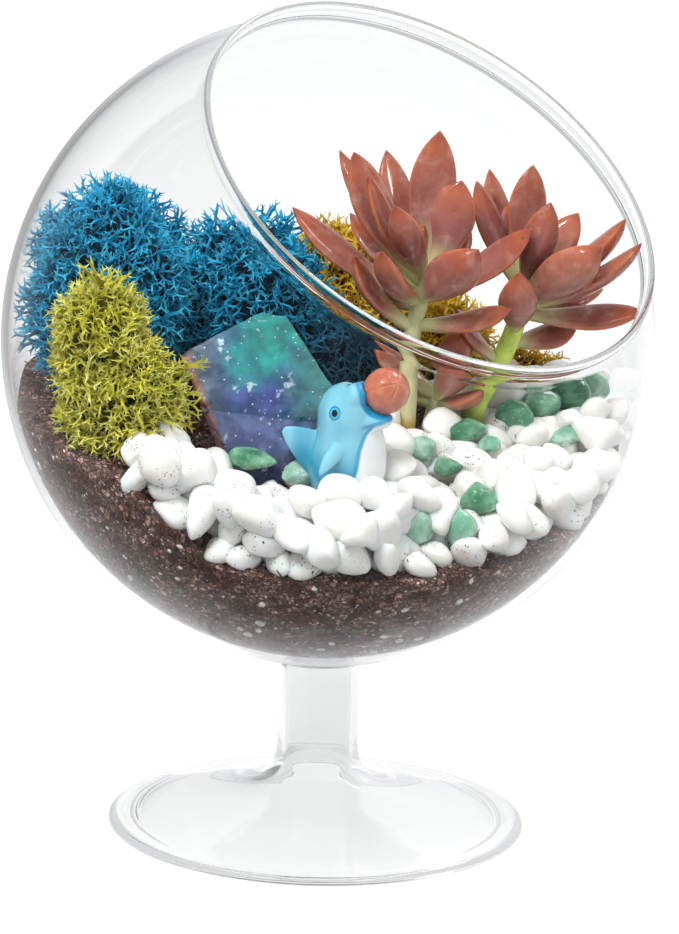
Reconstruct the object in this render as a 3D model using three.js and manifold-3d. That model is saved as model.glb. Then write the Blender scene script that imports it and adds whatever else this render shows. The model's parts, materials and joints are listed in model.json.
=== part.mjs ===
// A blown-glass globe on a hollow stem and a round foot, with its mouth cut at a slant.
// It holds a bank of soil, reindeer moss in blue, green and gold, a polished crystal, a small
// dolphin with a ball, white pebbles with green tumbled stones, and three succulents.
// Millimetres, +Z up, the mouth towards -Y and +X. The origin is the middle of the foot's underside.
import * as THREE from 'three';
import { ConvexGeometry } from 'three/addons/geometries/ConvexGeometry.js';
import { mergeVertices } from 'three/addons/utils/BufferGeometryUtils.js';
import Module from 'manifold-3d';

const wasm = await Module();
wasm.setup();

// Glass vessel
const GLOBE_R = 76;
const GLOBE_WALL = 1.6;
const GLOBE_Z = 117;
const INNER_R = GLOBE_R - GLOBE_WALL;
const MOUTH_TURN = 42; // degrees the mouth faces round from the front towards the right
const MOUTH_RISE = 51; // degrees it faces up
const MOUTH_R = 56.5;
const LIP_TOP = 54.4; // distance from the globe's centre to the lip's edge, along the mouth's axis
const LIP_WALL = 1.4;
const MOUTH_INNER_R = MOUTH_R - LIP_WALL;
const MOUTH_ANGLE = Math.asin(MOUTH_INNER_R / INNER_R); // off the mouth's axis, to the lip's inner edge
const STEM_R = 9.5;
const STEM_WALL = 1.8;
const FOOT_R = 49.2;
const REST_INNER_R = 43.5; // flat ring under the foot
const REST_OUTER_R = 47.2;
const GLOBE_SIDES = 32;
const GLOBE_RINGS = 12;
const FOOT_SIDES = 28;

// Contents
const CLEAR = 0.3; // between solids that touch
const SOIL_LEVEL = 96.5; // soil height at the globe's axis
const SOIL_SLOPE = 0.36; // rise towards the back
const SOIL_FALL = 0.08; // fall towards the right
const SOIL_BACK = 12; // the slope eases off behind this distance
const SOIL_BANK = 14; // the soil is heaped this much higher at the front left
const GRAVEL_DEPTH = 4.5; // bed that the pebbles stand out of
const SPRIG_REACH = 7; // how far moss sprigs stand out of their core
const FULL = 2.6; // 2 makes moss cores ellipsoids, more makes them fuller at the corners

const GLOBE_CENTRE = new THREE.Vector3(0, 0, GLOBE_Z);
const UP = new THREE.Vector3(0, 0, 1);
const MOUTH = heading(MOUTH_TURN - 90, MOUTH_RISE);

const MATERIALS = {
  glass: material(0xf4f8f8, 0.04, { transparent: true, opacity: 0.25 }),
  soil: material(0x40312c, 0.95),
  blueMoss: material(0x0f7fae, 0.85),
  greenMoss: material(0xb4b83c, 0.85),
  goldMoss: material(0xb8891d, 0.85),
  crystal: material(0x3f6f8a, 0.12),
  figurine: material(0x3fb2dc, 0.2),
  ball: material(0xd2694e, 0.2),
  pebble: material(0xf1f1ef, 0.45),
  greenStone: material(0x5fa583, 0.2),
  leaf: material(0xa0675c, 0.5),
};

function material(color, roughness, more = {}) {
  return new THREE.MeshStandardMaterial({ color, roughness, metalness: 0, ...more });
}

// Unit vector from a turn in plan, anticlockwise from +X, and a rise over the horizontal.
function heading(turn, rise) {
  const t = THREE.MathUtils.degToRad(turn);
  const r = THREE.MathUtils.degToRad(rise);
  return new THREE.Vector3(Math.cos(t) * Math.cos(r), Math.sin(t) * Math.cos(r), Math.sin(r));
}

function vector(xyz) {
  return new THREE.Vector3(...xyz);
}

// Repeatable random numbers from 0 to 1.
function seeded(seed) {
  let state = seed;
  return () => {
    state = (state + 0x6d2b79f5) | 0;
    let t = Math.imul(state ^ (state >>> 15), 1 | state);
    t = (t + Math.imul(t ^ (t >>> 7), 61 | t)) ^ t;
    return ((t ^ (t >>> 14)) >>> 0) / 4294967296;
  };
}

function smoothstep(value, from, to) {
  const t = THREE.MathUtils.clamp((value - from) / (to - from), 0, 1);
  return t * t * (3 - 2 * t);
}

// Height from a list of [x, height] points.
function interpolate(points, x) {
  const i = points.findIndex((p) => p[0] > x);
  if (i < 0) return points[points.length - 1][1];
  if (i === 0) return points[0][1];
  const [x0, y0] = points[i - 1];
  const [x1, y1] = points[i];
  return y0 + ((y1 - y0) * (x - x0)) / (x1 - x0);
}

// Closed geometry with shared vertices, as a solid for joins and cuts.
function solid(geometry) {
  const bare = geometry.clone();
  bare.deleteAttribute('normal');
  bare.deleteAttribute('uv');
  const merged = mergeVertices(bare, 1e-4);
  const index = merged.index.array;
  const triVerts = [];
  for (let i = 0; i < index.length; i += 3) {
    const [a, b, c] = [index[i], index[i + 1], index[i + 2]];
    if (a !== b && b !== c && c !== a) triVerts.push(a, b, c);
  }
  return new wasm.Manifold(
    new wasm.Mesh({
      numProp: 3,
      vertProperties: new Float32Array(merged.attributes.position.array),
      triVerts: new Uint32Array(triVerts),
    }),
  );
}

function union(solids) {
  return solids.reduce((whole, next) => whole.add(next));
}

function without(body, cutters) {
  return cutters.reduce((rest, cutter) => rest.subtract(cutter), body);
}

// The triangles of a solid as separate bodies, the loose scraps of a cut dropped.
function mainBody(body) {
  const { vertProperties, triVerts } = body.getMesh();
  const parent = Array.from({ length: vertProperties.length / 3 }, (_, i) => i);
  const root = (i) => {
    while (parent[i] !== i) i = parent[i] = parent[parent[i]];
    return i;
  };
  for (let i = 0; i < triVerts.length; i += 3) {
    parent[root(triVerts[i])] = root(triVerts[i + 1]);
    parent[root(triVerts[i + 1])] = root(triVerts[i + 2]);
  }
  const bodies = new Map();
  for (let i = 0; i < triVerts.length; i += 3) {
    const key = root(triVerts[i]);
    if (!bodies.has(key)) bodies.set(key, []);
    bodies.get(key).push(triVerts[i], triVerts[i + 1], triVerts[i + 2]);
  }
  const largest = [...bodies.values()].reduce((a, b) => (b.length > a.length ? b : a));
  const geometry = new THREE.BufferGeometry();
  geometry.setAttribute('position', new THREE.BufferAttribute(vertProperties, 3));
  geometry.setIndex(largest);
  return geometry.toNonIndexed();
}

function node(name, body, look) {
  const geometry = mainBody(body);
  geometry.computeVertexNormals();
  const mesh = new THREE.Mesh(geometry, look);
  mesh.name = name;
  return mesh;
}

// Solid of revolution about Z from [radius, height] points.
function lathe(profile, sides) {
  const points = profile.map(([r, z]) => new THREE.Vector2(r, z));
  return new THREE.LatheGeometry(points, sides).rotateX(Math.PI / 2);
}

// Closed body through rings of the same number of points, each anticlockwise seen from its end.
function loft(rings) {
  const sides = rings[0].length;
  const last = (rings.length - 1) * sides;
  const faces = [];
  for (let start = 0; start < last; start += sides) {
    for (let j = 0; j < sides; j += 1) {
      const k = (j + 1) % sides;
      faces.push(start + j, start + k, start + sides + k);
      faces.push(start + j, start + sides + k, start + sides + j);
    }
  }
  for (let j = 1; j < sides - 1; j += 1) {
    faces.push(0, j + 1, j);
    faces.push(last, last + j, last + j + 1);
  }
  const geometry = new THREE.BufferGeometry();
  const positions = rings.flat().flatMap((p) => p.toArray());
  geometry.setAttribute('position', new THREE.Float32BufferAttribute(positions, 3));
  geometry.setIndex(faces);
  return geometry;
}

// Ring of points round a centre, across a direction. Radii may differ sideways and upwards.
function ring(centre, along, up, sideR, upR, sides, upOf = Math.sin) {
  const side = new THREE.Vector3().crossVectors(up, along).normalize();
  const high = new THREE.Vector3().crossVectors(along, side).normalize();
  return Array.from({ length: sides }, (_, i) => {
    const t = (i / sides) * 2 * Math.PI;
    return centre
      .clone()
      .addScaledVector(side, sideR * Math.cos(t))
      .addScaledVector(high, upR * upOf(t));
  });
}

// Round rod along a curve through points, its radius changing evenly from one end to the other.
function rod(points, startR, endR, sides, steps) {
  const curve = new THREE.CatmullRomCurve3(points);
  const rings = [];
  for (let i = 0; i <= steps; i += 1) {
    const t = i / steps;
    const r = THREE.MathUtils.lerp(startR, endR, t);
    rings.push(ring(curve.getPoint(t), curve.getTangent(t), new THREE.Vector3(0, 1, 0), r, r, sides));
  }
  return loft(rings);
}

// Radius of a point measured so that a ball bulges towards a cube, as packed moss does.
function fullness(x, y, z) {
  return (Math.abs(x) ** FULL + Math.abs(y) ** FULL + Math.abs(z) ** FULL) ** (1 / FULL);
}

// Ellipsoid lump from a subdivided solid, its points moved in or out a little at random.
function lump(base, { at, radii, turn = [0, 0, 0], rough = 0, random = null, grow = 0, full = false }) {
  const bare = base.clone();
  bare.deleteAttribute('normal');
  bare.deleteAttribute('uv');
  const geometry = mergeVertices(bare, 1e-4);
  const position = geometry.attributes.position;
  const p = new THREE.Vector3();
  for (let i = 0; i < position.count; i += 1) {
    p.fromBufferAttribute(position, i);
    if (full) p.divideScalar(fullness(p.x, p.y, p.z));
    const scale = random ? 1 + rough * (random() - 0.5) : 1;
    p.set(p.x * (radii[0] * scale + grow), p.y * (radii[1] * scale + grow), p.z * (radii[2] * scale + grow));
    position.setXYZ(i, p.x, p.y, p.z);
  }
  const euler = new THREE.Euler(...turn.map(THREE.MathUtils.degToRad));
  geometry.applyMatrix4(new THREE.Matrix4().makeRotationFromEuler(euler));
  return geometry.translate(...at);
}

// Glass vessel: the globe is turned about the mouth's axis, the stem and foot about Z.
const TO_MOUTH = new THREE.Quaternion().setFromUnitVectors(UP, MOUTH);

// Points of an arc about the globe's centre, from one angle off the mouth's axis to another.
function arc(radius, from, to, rings) {
  return Array.from({ length: rings + 1 }, (_, i) => {
    const angle = from + ((to - from) * i) / rings;
    return [Math.abs(radius * Math.sin(angle)) < 1e-6 ? 0 : radius * Math.sin(angle), radius * Math.cos(angle)];
  });
}

function globe() {
  const lipRoot = 51; // where the lip leaves the globe, along the mouth's axis
  const round = 0.5;
  const profile = [
    ...arc(GLOBE_R, Math.PI, Math.acos(lipRoot / GLOBE_R), GLOBE_RINGS),
    [MOUTH_R, lipRoot + 1.2],
    [MOUTH_R, LIP_TOP - round],
    [MOUTH_R - round, LIP_TOP],
    [MOUTH_INNER_R + round, LIP_TOP],
    [MOUTH_INNER_R, LIP_TOP - round],
    ...arc(INNER_R, MOUTH_ANGLE, Math.PI, GLOBE_RINGS),
  ];
  return lathe(profile, GLOBE_SIDES).applyQuaternion(TO_MOUTH).translate(0, 0, GLOBE_Z);
}

function stemAndFoot() {
  const tube = STEM_R - STEM_WALL;
  const top = GLOBE_Z - GLOBE_R + STEM_R ** 2 / (2 * GLOBE_R) + GLOBE_WALL / 2;
  const profile = [
    [tube, top],
    [tube, 18],
    [8.3, 14.2],
    [11, 10.9],
    [16, 8.3],
    [42, 1.9],
    [REST_INNER_R, 0],
    [REST_OUTER_R, 0],
    [48.6, 0.4],
    [FOOT_R, 1.3],
    [48.6, 2.2],
    [47.2, 2.7],
    [45.6, 3],
    [16, 10.5],
    [12, 13.1],
    [10, 16.6],
    [STEM_R, 20],
    [STEM_R, top],
    [tube, top],
  ];
  return lathe(profile, FOOT_SIDES);
}

// Ball that fills the globe, its surface a distance inside the glass.
function inside(gap) {
  const radius = INNER_R - gap;
  const bowl = arc(radius, Math.PI, MOUTH_ANGLE, GLOBE_RINGS);
  const profile = [...bowl, ...arc(radius, MOUTH_ANGLE, 0, 5).slice(1)];
  return lathe(profile, GLOBE_SIDES).applyQuaternion(TO_MOUTH).translate(0, 0, GLOBE_Z);
}

// Soil
function soilHeight(x, y) {
  const back = y < SOIL_BACK ? y : SOIL_BACK + (y - SOIL_BACK) / 4;
  const bank = SOIL_BANK * smoothstep(x, -24, -44) * smoothstep(y, 5, -45);
  return SOIL_LEVEL + SOIL_SLOPE * back - SOIL_FALL * x + bank;
}

// Block from well under the soil up to its surface, raised by a lift.
function ground(lift) {
  const cells = 10;
  const size = 2 * (GLOBE_R + 2);
  const slab = new THREE.BoxGeometry(size, size, 1, cells, cells, 1);
  const position = slab.attributes.position;
  for (let i = 0; i < position.count; i += 1) {
    const [x, y] = [position.getX(i), position.getY(i)];
    position.setZ(i, position.getZ(i) > 0 ? soilHeight(x, y) + lift : GLOBE_Z - GLOBE_R);
  }
  return solid(slab);
}

// Succulents. Each leaf springs from its stem at a level, in mm over the floor, and points to a
// turn in plan, anticlockwise from +X, and a rise. Its bow lets the middle sag and lifts the tip.
// All leaves of a plant open towards the side that it faces.
const PLANTS = [
  {
    name: 'succulent_front',
    facing: heading(-70, 48),
    stem: [[17, -6, 87], [18.5, -7, 100], [18.7, -8, 113], [19.5, -8, 122], [21.5, -8, 131], [22, -8, 137]],
    stemR: [2.4, 1.6],
    leaves: [
      { level: 128, turn: 176, rise: 35, long: 36.5, wide: 7.2, bow: 0.25 },
      { level: 122, turn: -148, rise: 47, long: 24.5, wide: 6.4, bow: 0.35 },
      { level: 133, turn: 156, rise: 52, long: 36, wide: 6.4, bow: 0.2 },
      { level: 133, turn: -177, rise: 60, long: 34, wide: 10.4, bow: 0.3 },
      { level: 131, turn: 145, rise: 36, long: 26, wide: 6.4, bow: 0.2 },
      { level: 134, turn: -149, rise: 57, long: 29, wide: 7.8, bow: 0.25 },
      { level: 134, turn: 126, rise: 59, long: 31.5, wide: 7.8, bow: 0.2 },
      { level: 134, turn: 64, rise: 80, long: 33.5, wide: 11.4, bow: 0.2 },
      { level: 134, turn: -120, rise: 51, long: 23.5, wide: 7, bow: 0.2 },
      { level: 129, turn: -119, rise: 35, long: 23.5, wide: 8.8, bow: 0.3 },
      { level: 134, turn: 20, rise: 69, long: 23.5, wide: 10.8, bow: 0.25 },
      { level: 133, turn: 37, rise: 39, long: 17, wide: 6, bow: 0.2 },
      { level: 136, turn: 180, rise: 86, long: 10, wide: 3.8, bow: 0.1 },
      { level: 130, turn: -55, rise: 33, long: 25, wide: 10, bow: 0.35 },
      { level: 129, turn: -9, rise: 35, long: 30.5, wide: 7.4, bow: 0.3 },
      { level: 123, turn: -25, rise: 14, long: 24.5, wide: 6.6, bow: 0.25 },
      { level: 127, turn: 137, rise: 15, long: 15.5, wide: 6, bow: 0.2 },
    ],
  },
  {
    name: 'succulent_right',
    facing: heading(-65, 45),
    stem: [[32, 2, 92], [35, 0, 103], [39, 0, 111], [42, 0, 118], [44, 0, 125], [45, 0, 133]],
    stemR: [2.7, 1.9],
    leaves: [
      { level: 122, turn: -90, rise: 44, long: 21.5, wide: 8, bow: 0.5 },
      { level: 130, turn: 170, rise: 65, long: 27.5, wide: 7, bow: 0.2 },
      { level: 130, turn: 130, rise: 64, long: 29.5, wide: 6.5, bow: 0.2 },
      { level: 129, turn: 111, rise: 50, long: 25, wide: 5, bow: 0.2 },
      { level: 131, turn: 108, rise: 63, long: 21, wide: 7.8, bow: 0.2 },
      { level: 132, turn: 68, rise: 83, long: 27, wide: 8.4, bow: 0.2 },
      { level: 131, turn: -60, rise: 64, long: 23.5, wide: 7.4, bow: 0.25 },
      { level: 130, turn: 29, rise: 50, long: 22.5, wide: 7.4, bow: 0.25 },
      { level: 130, turn: -17, rise: 38, long: 30, wide: 8.4, bow: 0.25 },
      { level: 128, turn: -41, rise: 34, long: 27.5, wide: 10, bow: 0.35 },
      { level: 127, turn: -24, rise: 30, long: 33.5, wide: 7, bow: 0.3 },
      { level: 126, turn: 22, rise: 9, long: 21.5, wide: 5.6, bow: 0.2 },
      { level: 125, turn: -12, rise: 4, long: 29, wide: 7, bow: 0.25 },
      { level: 118, turn: 14, rise: 10, long: 16.5, wide: 6.5, bow: 0.3 },
      { level: 113, turn: -143, rise: 46, long: 19, wide: 5.6, bow: 0.25 },
      { level: 114, turn: 65, rise: -19, long: 14, wide: 5.2, bow: 0.2 },
    ],
  },
  {
    name: 'succulent_low',
    facing: heading(-60, 55),
    stem: [[23, 2, 91], [24.5, 0, 99], [25.5, -1, 104], [26, -1, 107]],
    stemR: [2, 1.6],
    leaves: [
      { level: 106, turn: -33, rise: 68, long: 14, wide: 5.6, bow: 0.25 },
      { level: 105, turn: -60, rise: 42, long: 14.5, wide: 5.2, bow: 0.3 },
      { level: 104, turn: -38, rise: 16, long: 11.5, wide: 4.8, bow: 0.3 },
      { level: 105, turn: 168, rise: 40, long: 16.5, wide: 6, bow: 0.3 },
      { level: 103, turn: 150, rise: 25, long: 14, wide: 5.2, bow: 0.3 },
      { level: 106, turn: 60, rise: 50, long: 13, wide: 5.2, bow: 0.2 },
    ],
  },
];

// Leaf outline: share of the length, of half the width, and of the thickness.
const LEAF_STATIONS = [
  [0, 0.34, 0.5],
  [0.32, 0.72, 0.8],
  [0.62, 1, 1],
  [0.87, 0.74, 0.8],
  [1, 0.08, 0.14],
];
const LEAF_WIDTH = 1.22;
const LEAF_THICKNESS = 0.5; // of its width
const LEAF_SIDES = 6;

// Where a stem passes a level.
function stemPoint(stem, level) {
  const at = (axis) => interpolate(stem.map((p) => [p[2], p[axis]]), level);
  return new THREE.Vector3(at(0), at(1), level);
}

// Direction of a leaf, and of its upper face across that.
function leafAxes(plant, { turn, rise }) {
  const along = heading(turn, rise);
  const up = plant.facing.clone().addScaledVector(along, -along.dot(plant.facing)).normalize();
  return { along, up };
}

function leafPoint(plant, shape, share) {
  const { along, up } = leafAxes(plant, shape);
  return stemPoint(plant.stem, shape.level)
    .addScaledVector(along, share * shape.long)
    .addScaledVector(up, shape.bow * shape.long * (share * share - share));
}

function leaf(plant, shape, grow) {
  const { along, up } = leafAxes(plant, shape);
  const half = (LEAF_WIDTH * shape.wide) / 2;
  const rings = LEAF_STATIONS.map(([share, width, thickness]) => {
    const tangent = along.clone().addScaledVector(up, shape.bow * (2 * share - 1));
    const side = width * half + grow;
    const high = thickness * LEAF_THICKNESS * half + grow;
    const keeled = (t) => (Math.sin(t) > 0 ? 0.75 : 1.15) * Math.sin(t);
    const centre = leafPoint(plant, shape, share).addScaledVector(along, share * grow);
    return ring(centre, tangent, up, side, high, LEAF_SIDES, keeled);
  });
  return solid(loft(rings));
}

function succulent(plant, grow = 0) {
  const [startR, endR] = plant.stemR;
  const trunk = rod(plant.stem.map(vector), startR + grow, endR + grow, 8, 6);
  return union([solid(trunk), ...plant.leaves.map((shape) => leaf(plant, shape, grow))]);
}

// Crystal: a tumbled block with broken faces, leaning back in the soil.
function crystal(grow = 0) {
  const corners = [
    [-33.4, -24, 117.6], [-30, -25, 110], [-22.5, -28, 97], [-21, -26, 87],
    [-15.5, -16, 126.3], [-9.6, -16, 125.4], [1.6, -21, 110.2], [-2.6, -25, 102],
    [-9.5, -28, 95.5], [-10, -25, 86], [-2, -19, 90],
    [-31, -15, 117.5], [-14.5, -8, 123], [-10, -8, 122.5], [-0.5, -13, 110],
    [-4, -11, 90], [-20, -13, 88], [-27, -16, 104],
  ].map(vector);
  const middle = corners.reduce((sum, c) => sum.add(c), new THREE.Vector3()).divideScalar(corners.length);
  const grown = corners.map((c) => c.clone().addScaledVector(c.clone().sub(middle).normalize(), 1.6 * grow));
  return solid(new ConvexGeometry(grown));
}

// Dolphin figurine: it stands on its tail, nose up to the right, with fins moulded on.
const BALL = { at: [13.2, -42, 114.2], r: 5.2 };

function dolphin(grow = 0) {
  const body = [
    [[3.5, -37, 85.5], 4.5, 4],
    [[4, -37.5, 90], 7.6, 6.4],
    [[4.6, -38, 96], 9.4, 8],
    [[4.6, -38, 102], 9, 8],
    [[5, -38.5, 107], 7.8, 7.2],
    [[6, -39, 111.5], 6, 6],
    [[7.2, -39.5, 114.6], 3, 3.4],
  ];
  const back = new THREE.Vector3(0, -1, 0);
  const rings = body.map(([at, sideR, upR], i) => {
    const before = vector(body[Math.max(i - 1, 0)][0]);
    const after = vector(body[Math.min(i + 1, body.length - 1)][0]);
    return ring(vector(at), after.sub(before).normalize(), back, sideR + grow, upR + grow, 10);
  });
  const fin = (from, to, width, thickness, lean) =>
    loft(
      [0, 0.45, 0.8, 1].map((share, i) => {
        const size = [1, 0.85, 0.55, 0.18][i];
        const centre = vector(from).lerp(vector(to), share).addScaledVector(vector(lean), share * (1 - share));
        const along = vector(to).sub(vector(from)).normalize();
        return ring(centre, along, back, width * size + grow, thickness * size + grow, 4);
      }),
    );
  const beak = loft(
    [[[5, -39.5, 109], 4.6], [[10, -41.5, 108.4], 3.6], [[14, -43, 107.4], 2.6], [[16.2, -44, 107], 1.5]].map(
      ([at, r]) => ring(vector(at), new THREE.Vector3(0.9, -0.4, -0.1).normalize(), UP, r + grow, 0.8 * r + grow, 6),
    ),
  );
  return union([
    solid(loft(rings)),
    solid(beak),
    solid(fin([-2.5, -38, 98.5], [-9.4, -38, 104.4], 3.6, 1.4, [0, 0, 3])),
    solid(fin([1.5, -44, 102.5], [-0.6, -48.5, 94.6], 2.6, 1.3, [-2, -2, 0])),
    solid(fin([5.5, -32, 102.5], [4.5, -27.5, 95], 2.6, 1.3, [0, 2, 0])),
  ]);
}

function ball(grow = 0) {
  return solid(new THREE.SphereGeometry(BALL.r + grow, 12, 8).rotateX(Math.PI / 2).translate(...BALL.at));
}

// Green tumbled stones: place in plan, half sizes, turn about Z and tilt.
const STONES = [
  { at: [-16.4, -32], radii: [6, 3.2, 2.6], turn: -15 },
  { at: [-5.4, -35.5], radii: [4.6, 3, 2.6], turn: 25 },
  { at: [22.1, -16.7], radii: [3.8, 3, 2.8], turn: 10 },
  { at: [27.6, -22.4], radii: [4, 2.6, 2.2], turn: -20 },
  { at: [32.6, -7.4], radii: [5, 3, 3], turn: 8 },
  { at: [43.4, 0.6], radii: [4.8, 3.4, 3.4], turn: -12 },
  { at: [50.6, 7], radii: [5.2, 3.4, 3.2], turn: 25 },
  { at: [57.4, 13.6], radii: [5.2, 4, 4.2], turn: -35 },
  { at: [64, 20.6], radii: [4, 3, 3.2], turn: -10 },
  { at: [55.2, -5.7], radii: [4.2, 2.8, 2.6], turn: 30 },
  { at: [37.8, -12.6], radii: [2.8, 2.2, 2], turn: 0 },
  { at: [34.7, -34.1], radii: [4.8, 3.6, 3.6], turn: -20 },
  { at: [30.4, -46], radii: [3.6, 3.2, 4.4], turn: -35 },
  { at: [21.6, -48], radii: [3.6, 2.8, 4], turn: 25 },
];
const STONE_LIFT = 7;
const STONE_BASE = new THREE.OctahedronGeometry(1, 1);

function stone({ at: [x, y], radii, turn }, grow = 0) {
  const at = [x, y, soilHeight(x, y) + STONE_LIFT];
  return solid(lump(STONE_BASE, { at, radii, turn: [18, 0, turn], grow }));
}

// White pebbles: the front bank, up to the foot of the crystal and past the succulents.
const GRAVEL_BACK = [[-46, -46], [-38, -40], [-30, -33], [-6, -30], [4, -24], [14, -6], [30, 8], [46, 22], [60, 28], [74, 26]];
const GRAVEL_LEFT = -46;
const GRAVEL_RIGHT = 72;
const GRAVEL_EDGE = 3.5; // the bed stops this far inside the glass, where only pebbles show
const PEBBLE_SPACING = 8.6;
const PEBBLE_LIFT = 6.2; // of its middle over the soil
const PEBBLE_BASE = new THREE.IcosahedronGeometry(1, 0);

function placePebbles() {
  const random = seeded(7);
  const pebbles = [];
  for (let tries = 0; tries < 4000; tries += 1) {
    const x = GRAVEL_LEFT + (GRAVEL_RIGHT - GRAVEL_LEFT) * random();
    const y = -70 + 100 * random();
    const z = soilHeight(x, y) + PEBBLE_LIFT;
    const half = 5 + 1.4 * random();
    const radii = [half, half * (0.76 + 0.12 * random()), half * (0.66 + 0.14 * random())];
    const turn = [50 * (random() - 0.5), 50 * (random() - 0.5), 360 * random()];
    const centre = new THREE.Vector3(x, y, z);
    const apart = pebbles.every((p) => vector(p.at).distanceTo(centre) > PEBBLE_SPACING);
    const free = apart && STONES.every((s) => Math.hypot(s.at[0] - x, s.at[1] - y) > half + 0.5 * s.radii[0]);
    const held = y < interpolate(GRAVEL_BACK, x) && centre.distanceTo(GLOBE_CENTRE) < INNER_R - 2;
    if (free && held && !inMoss(centre, 2)) pebbles.push({ at: [x, y, z], radii, turn });
  }
  return pebbles;
}

// Whether a point lies in the gravel bed or near a pebble.
function inGravel(point) {
  const inPlan = point.x > GRAVEL_LEFT - 1 && point.y < interpolate(GRAVEL_BACK, point.x) + 1;
  const inBed = inPlan && point.z < soilHeight(point.x, point.y) + GRAVEL_DEPTH + 1;
  return inBed || PEBBLES.some((p) => vector(p.at).distanceTo(point) < p.radii[0] + 1);
}

function gravel() {
  const random = seeded(9);
  const pebbles = PEBBLES.map((shape) => solid(lump(PEBBLE_BASE, { ...shape, rough: 0.18, random })));
  const outline = new THREE.Shape();
  outline.moveTo(GRAVEL_LEFT, -GLOBE_R);
  GRAVEL_BACK.forEach(([x, y]) => outline.lineTo(x, y));
  outline.lineTo(GRAVEL_RIGHT + 4, -GLOBE_R);
  const block = new THREE.ExtrudeGeometry(outline, { depth: GLOBE_R, bevelEnabled: false });
  block.translate(0, 0, GLOBE_Z - GLOBE_R + 10);
  const bed = ground(GRAVEL_DEPTH).intersect(solid(block));
  const middle = bed.intersect(solid(inside(GRAVEL_EDGE)));
  return union([middle, ...pebbles]).intersect(solid(inside(CLEAR))).subtract(ground(CLEAR));
}

// Moss clumps: uneven cores whose faces are all drawn out into sprigs.
const MOSSES = [
  {
    name: 'moss_green',
    look: 'greenMoss',
    cores: [
      { at: [-51, -33, 121], radii: [11, 11, 13], detail: 2 },
      { at: [-46, -36, 109], radii: [12, 11, 11], detail: 2 },
    ],
    seed: 3,
  },
  {
    name: 'moss_blue_left',
    look: 'blueMoss',
    cores: [{ at: [-51, 2, 125], radii: [16, 21, 23], detail: 3 }],
    seed: 5,
  },
  {
    name: 'moss_blue_middle',
    look: 'blueMoss',
    cores: [
      { at: [-20, 14, 121], radii: [17, 16, 20], detail: 3 },
      { at: [4, 11, 107], radii: [12, 11, 11], detail: 2 },
    ],
    seed: 8,
  },
  {
    name: 'moss_gold_back',
    look: 'goldMoss',
    cores: [
      { at: [1, 37, 120], radii: [13, 12, 15], detail: 2 },
      { at: [25, 31, 110], radii: [12, 11, 11], detail: 1 },
    ],
    seed: 13,
  },
  {
    name: 'moss_gold_right',
    look: 'goldMoss',
    cores: [{ at: [48, 24, 104], radii: [7, 6, 6], detail: 1 }],
    seed: 21,
  },
];

// How deep a point lies in a core, over 1 when outside.
function depth(point, { at, radii }, grow) {
  return fullness(...['x', 'y', 'z'].map((axis, i) => (point[axis] - at[i]) / (radii[i] + grow)));
}

function inMoss(point, grow) {
  return MOSSES.some((moss) => moss.cores.some((core) => depth(point, core, SPRIG_REACH + grow) < 1));
}

// Middle lines of all leaves, which the sprigs keep clear of.
const LEAF_LINES = PLANTS.flatMap((plant) =>
  plant.leaves.flatMap((shape) =>
    [0.3, 0.5, 0.7, 0.9].map((share) => ({
      point: leafPoint(plant, shape, share),
      reach: shape.wide / 2 + 1.5,
    })),
  ),
);

function nearLeaf(point) {
  return LEAF_LINES.some((line) => line.point.distanceTo(point) < line.reach);
}

// Corners and faces of a core with its sprigs. Each sprig stays in the sector of its own face, seen
// from the core's centre, so that no two cross.
function mossLump(core, random, blocked) {
  const base = new THREE.IcosahedronGeometry(1, core.detail);
  const geometry = lump(base, { ...core, rough: 0.16, random, full: true });
  const { array } = geometry.attributes.position;
  const centre = vector(core.at);
  const corners = Array.from({ length: array.length / 3 }, (_, i) => new THREE.Vector3().fromArray(array, 3 * i));
  const faces = [];
  for (let i = 0; i < geometry.index.count; i += 3) {
    const [a, b, c] = geometry.index.array.slice(i, i + 3);
    const share = [0.25 + random(), 0.25 + random(), 0.25 + random()];
    const root = new THREE.Vector3();
    [a, b, c].forEach((corner, k) => root.addScaledVector(corners[corner], share[k]));
    root.divideScalar(share[0] + share[1] + share[2]);
    const out = root.clone().sub(centre).normalize();
    const tip = root.clone().addScaledVector(out, SPRIG_REACH * (0.55 + 0.75 * random()));
    if (blocked(tip)) {
      faces.push([a, b, c]);
    } else {
      const top = corners.push(tip) - 1;
      faces.push([a, b, top], [b, c, top], [c, a, top]);
    }
  }
  return { centre, corners, faces };
}

function mossShape(moss, index) {
  const random = seeded(moss.seed);
  const others = MOSSES.filter((other) => other !== moss);
  const blocked = (point) =>
    nearLeaf(point) ||
    inGravel(point) ||
    point.distanceTo(GLOBE_CENTRE) > INNER_R - 1 ||
    point.z < soilHeight(point.x, point.y) + 1 ||
    others.some((other) => {
      const room = MOSSES.indexOf(other) < index ? SPRIG_REACH / 2 : 1.2;
      return other.cores.some((core) => depth(point, core, room) < 1);
    });
  return moss.cores.map((core) => mossLump(core, random, blocked));
}

function mossClump(shape, grow = 0) {
  const lumps = shape.map(({ centre, corners, faces }) => {
    const geometry = new THREE.BufferGeometry();
    const moved = corners.map((p) => p.clone().add(p.clone().sub(centre).setLength(grow)));
    const positions = new Float32Array(moved.flatMap((p) => p.toArray()));
    geometry.setAttribute('position', new THREE.BufferAttribute(positions, 3));
    geometry.setIndex(faces.flat());
    return solid(geometry);
  });
  return union(lumps);
}

const PEBBLES = placePebbles();
const terrarium = new THREE.Group();
const add = (name, body, look) => terrarium.add(node(name, body, MATERIALS[look]));

const grownPlants = PLANTS.map((plant) => succulent(plant, CLEAR));
const grownCrystal = crystal(CLEAR);
const grownDolphin = dolphin(CLEAR);
const grownBall = ball(CLEAR);
const grownStones = STONES.map((shape) => stone(shape, CLEAR));

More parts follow.
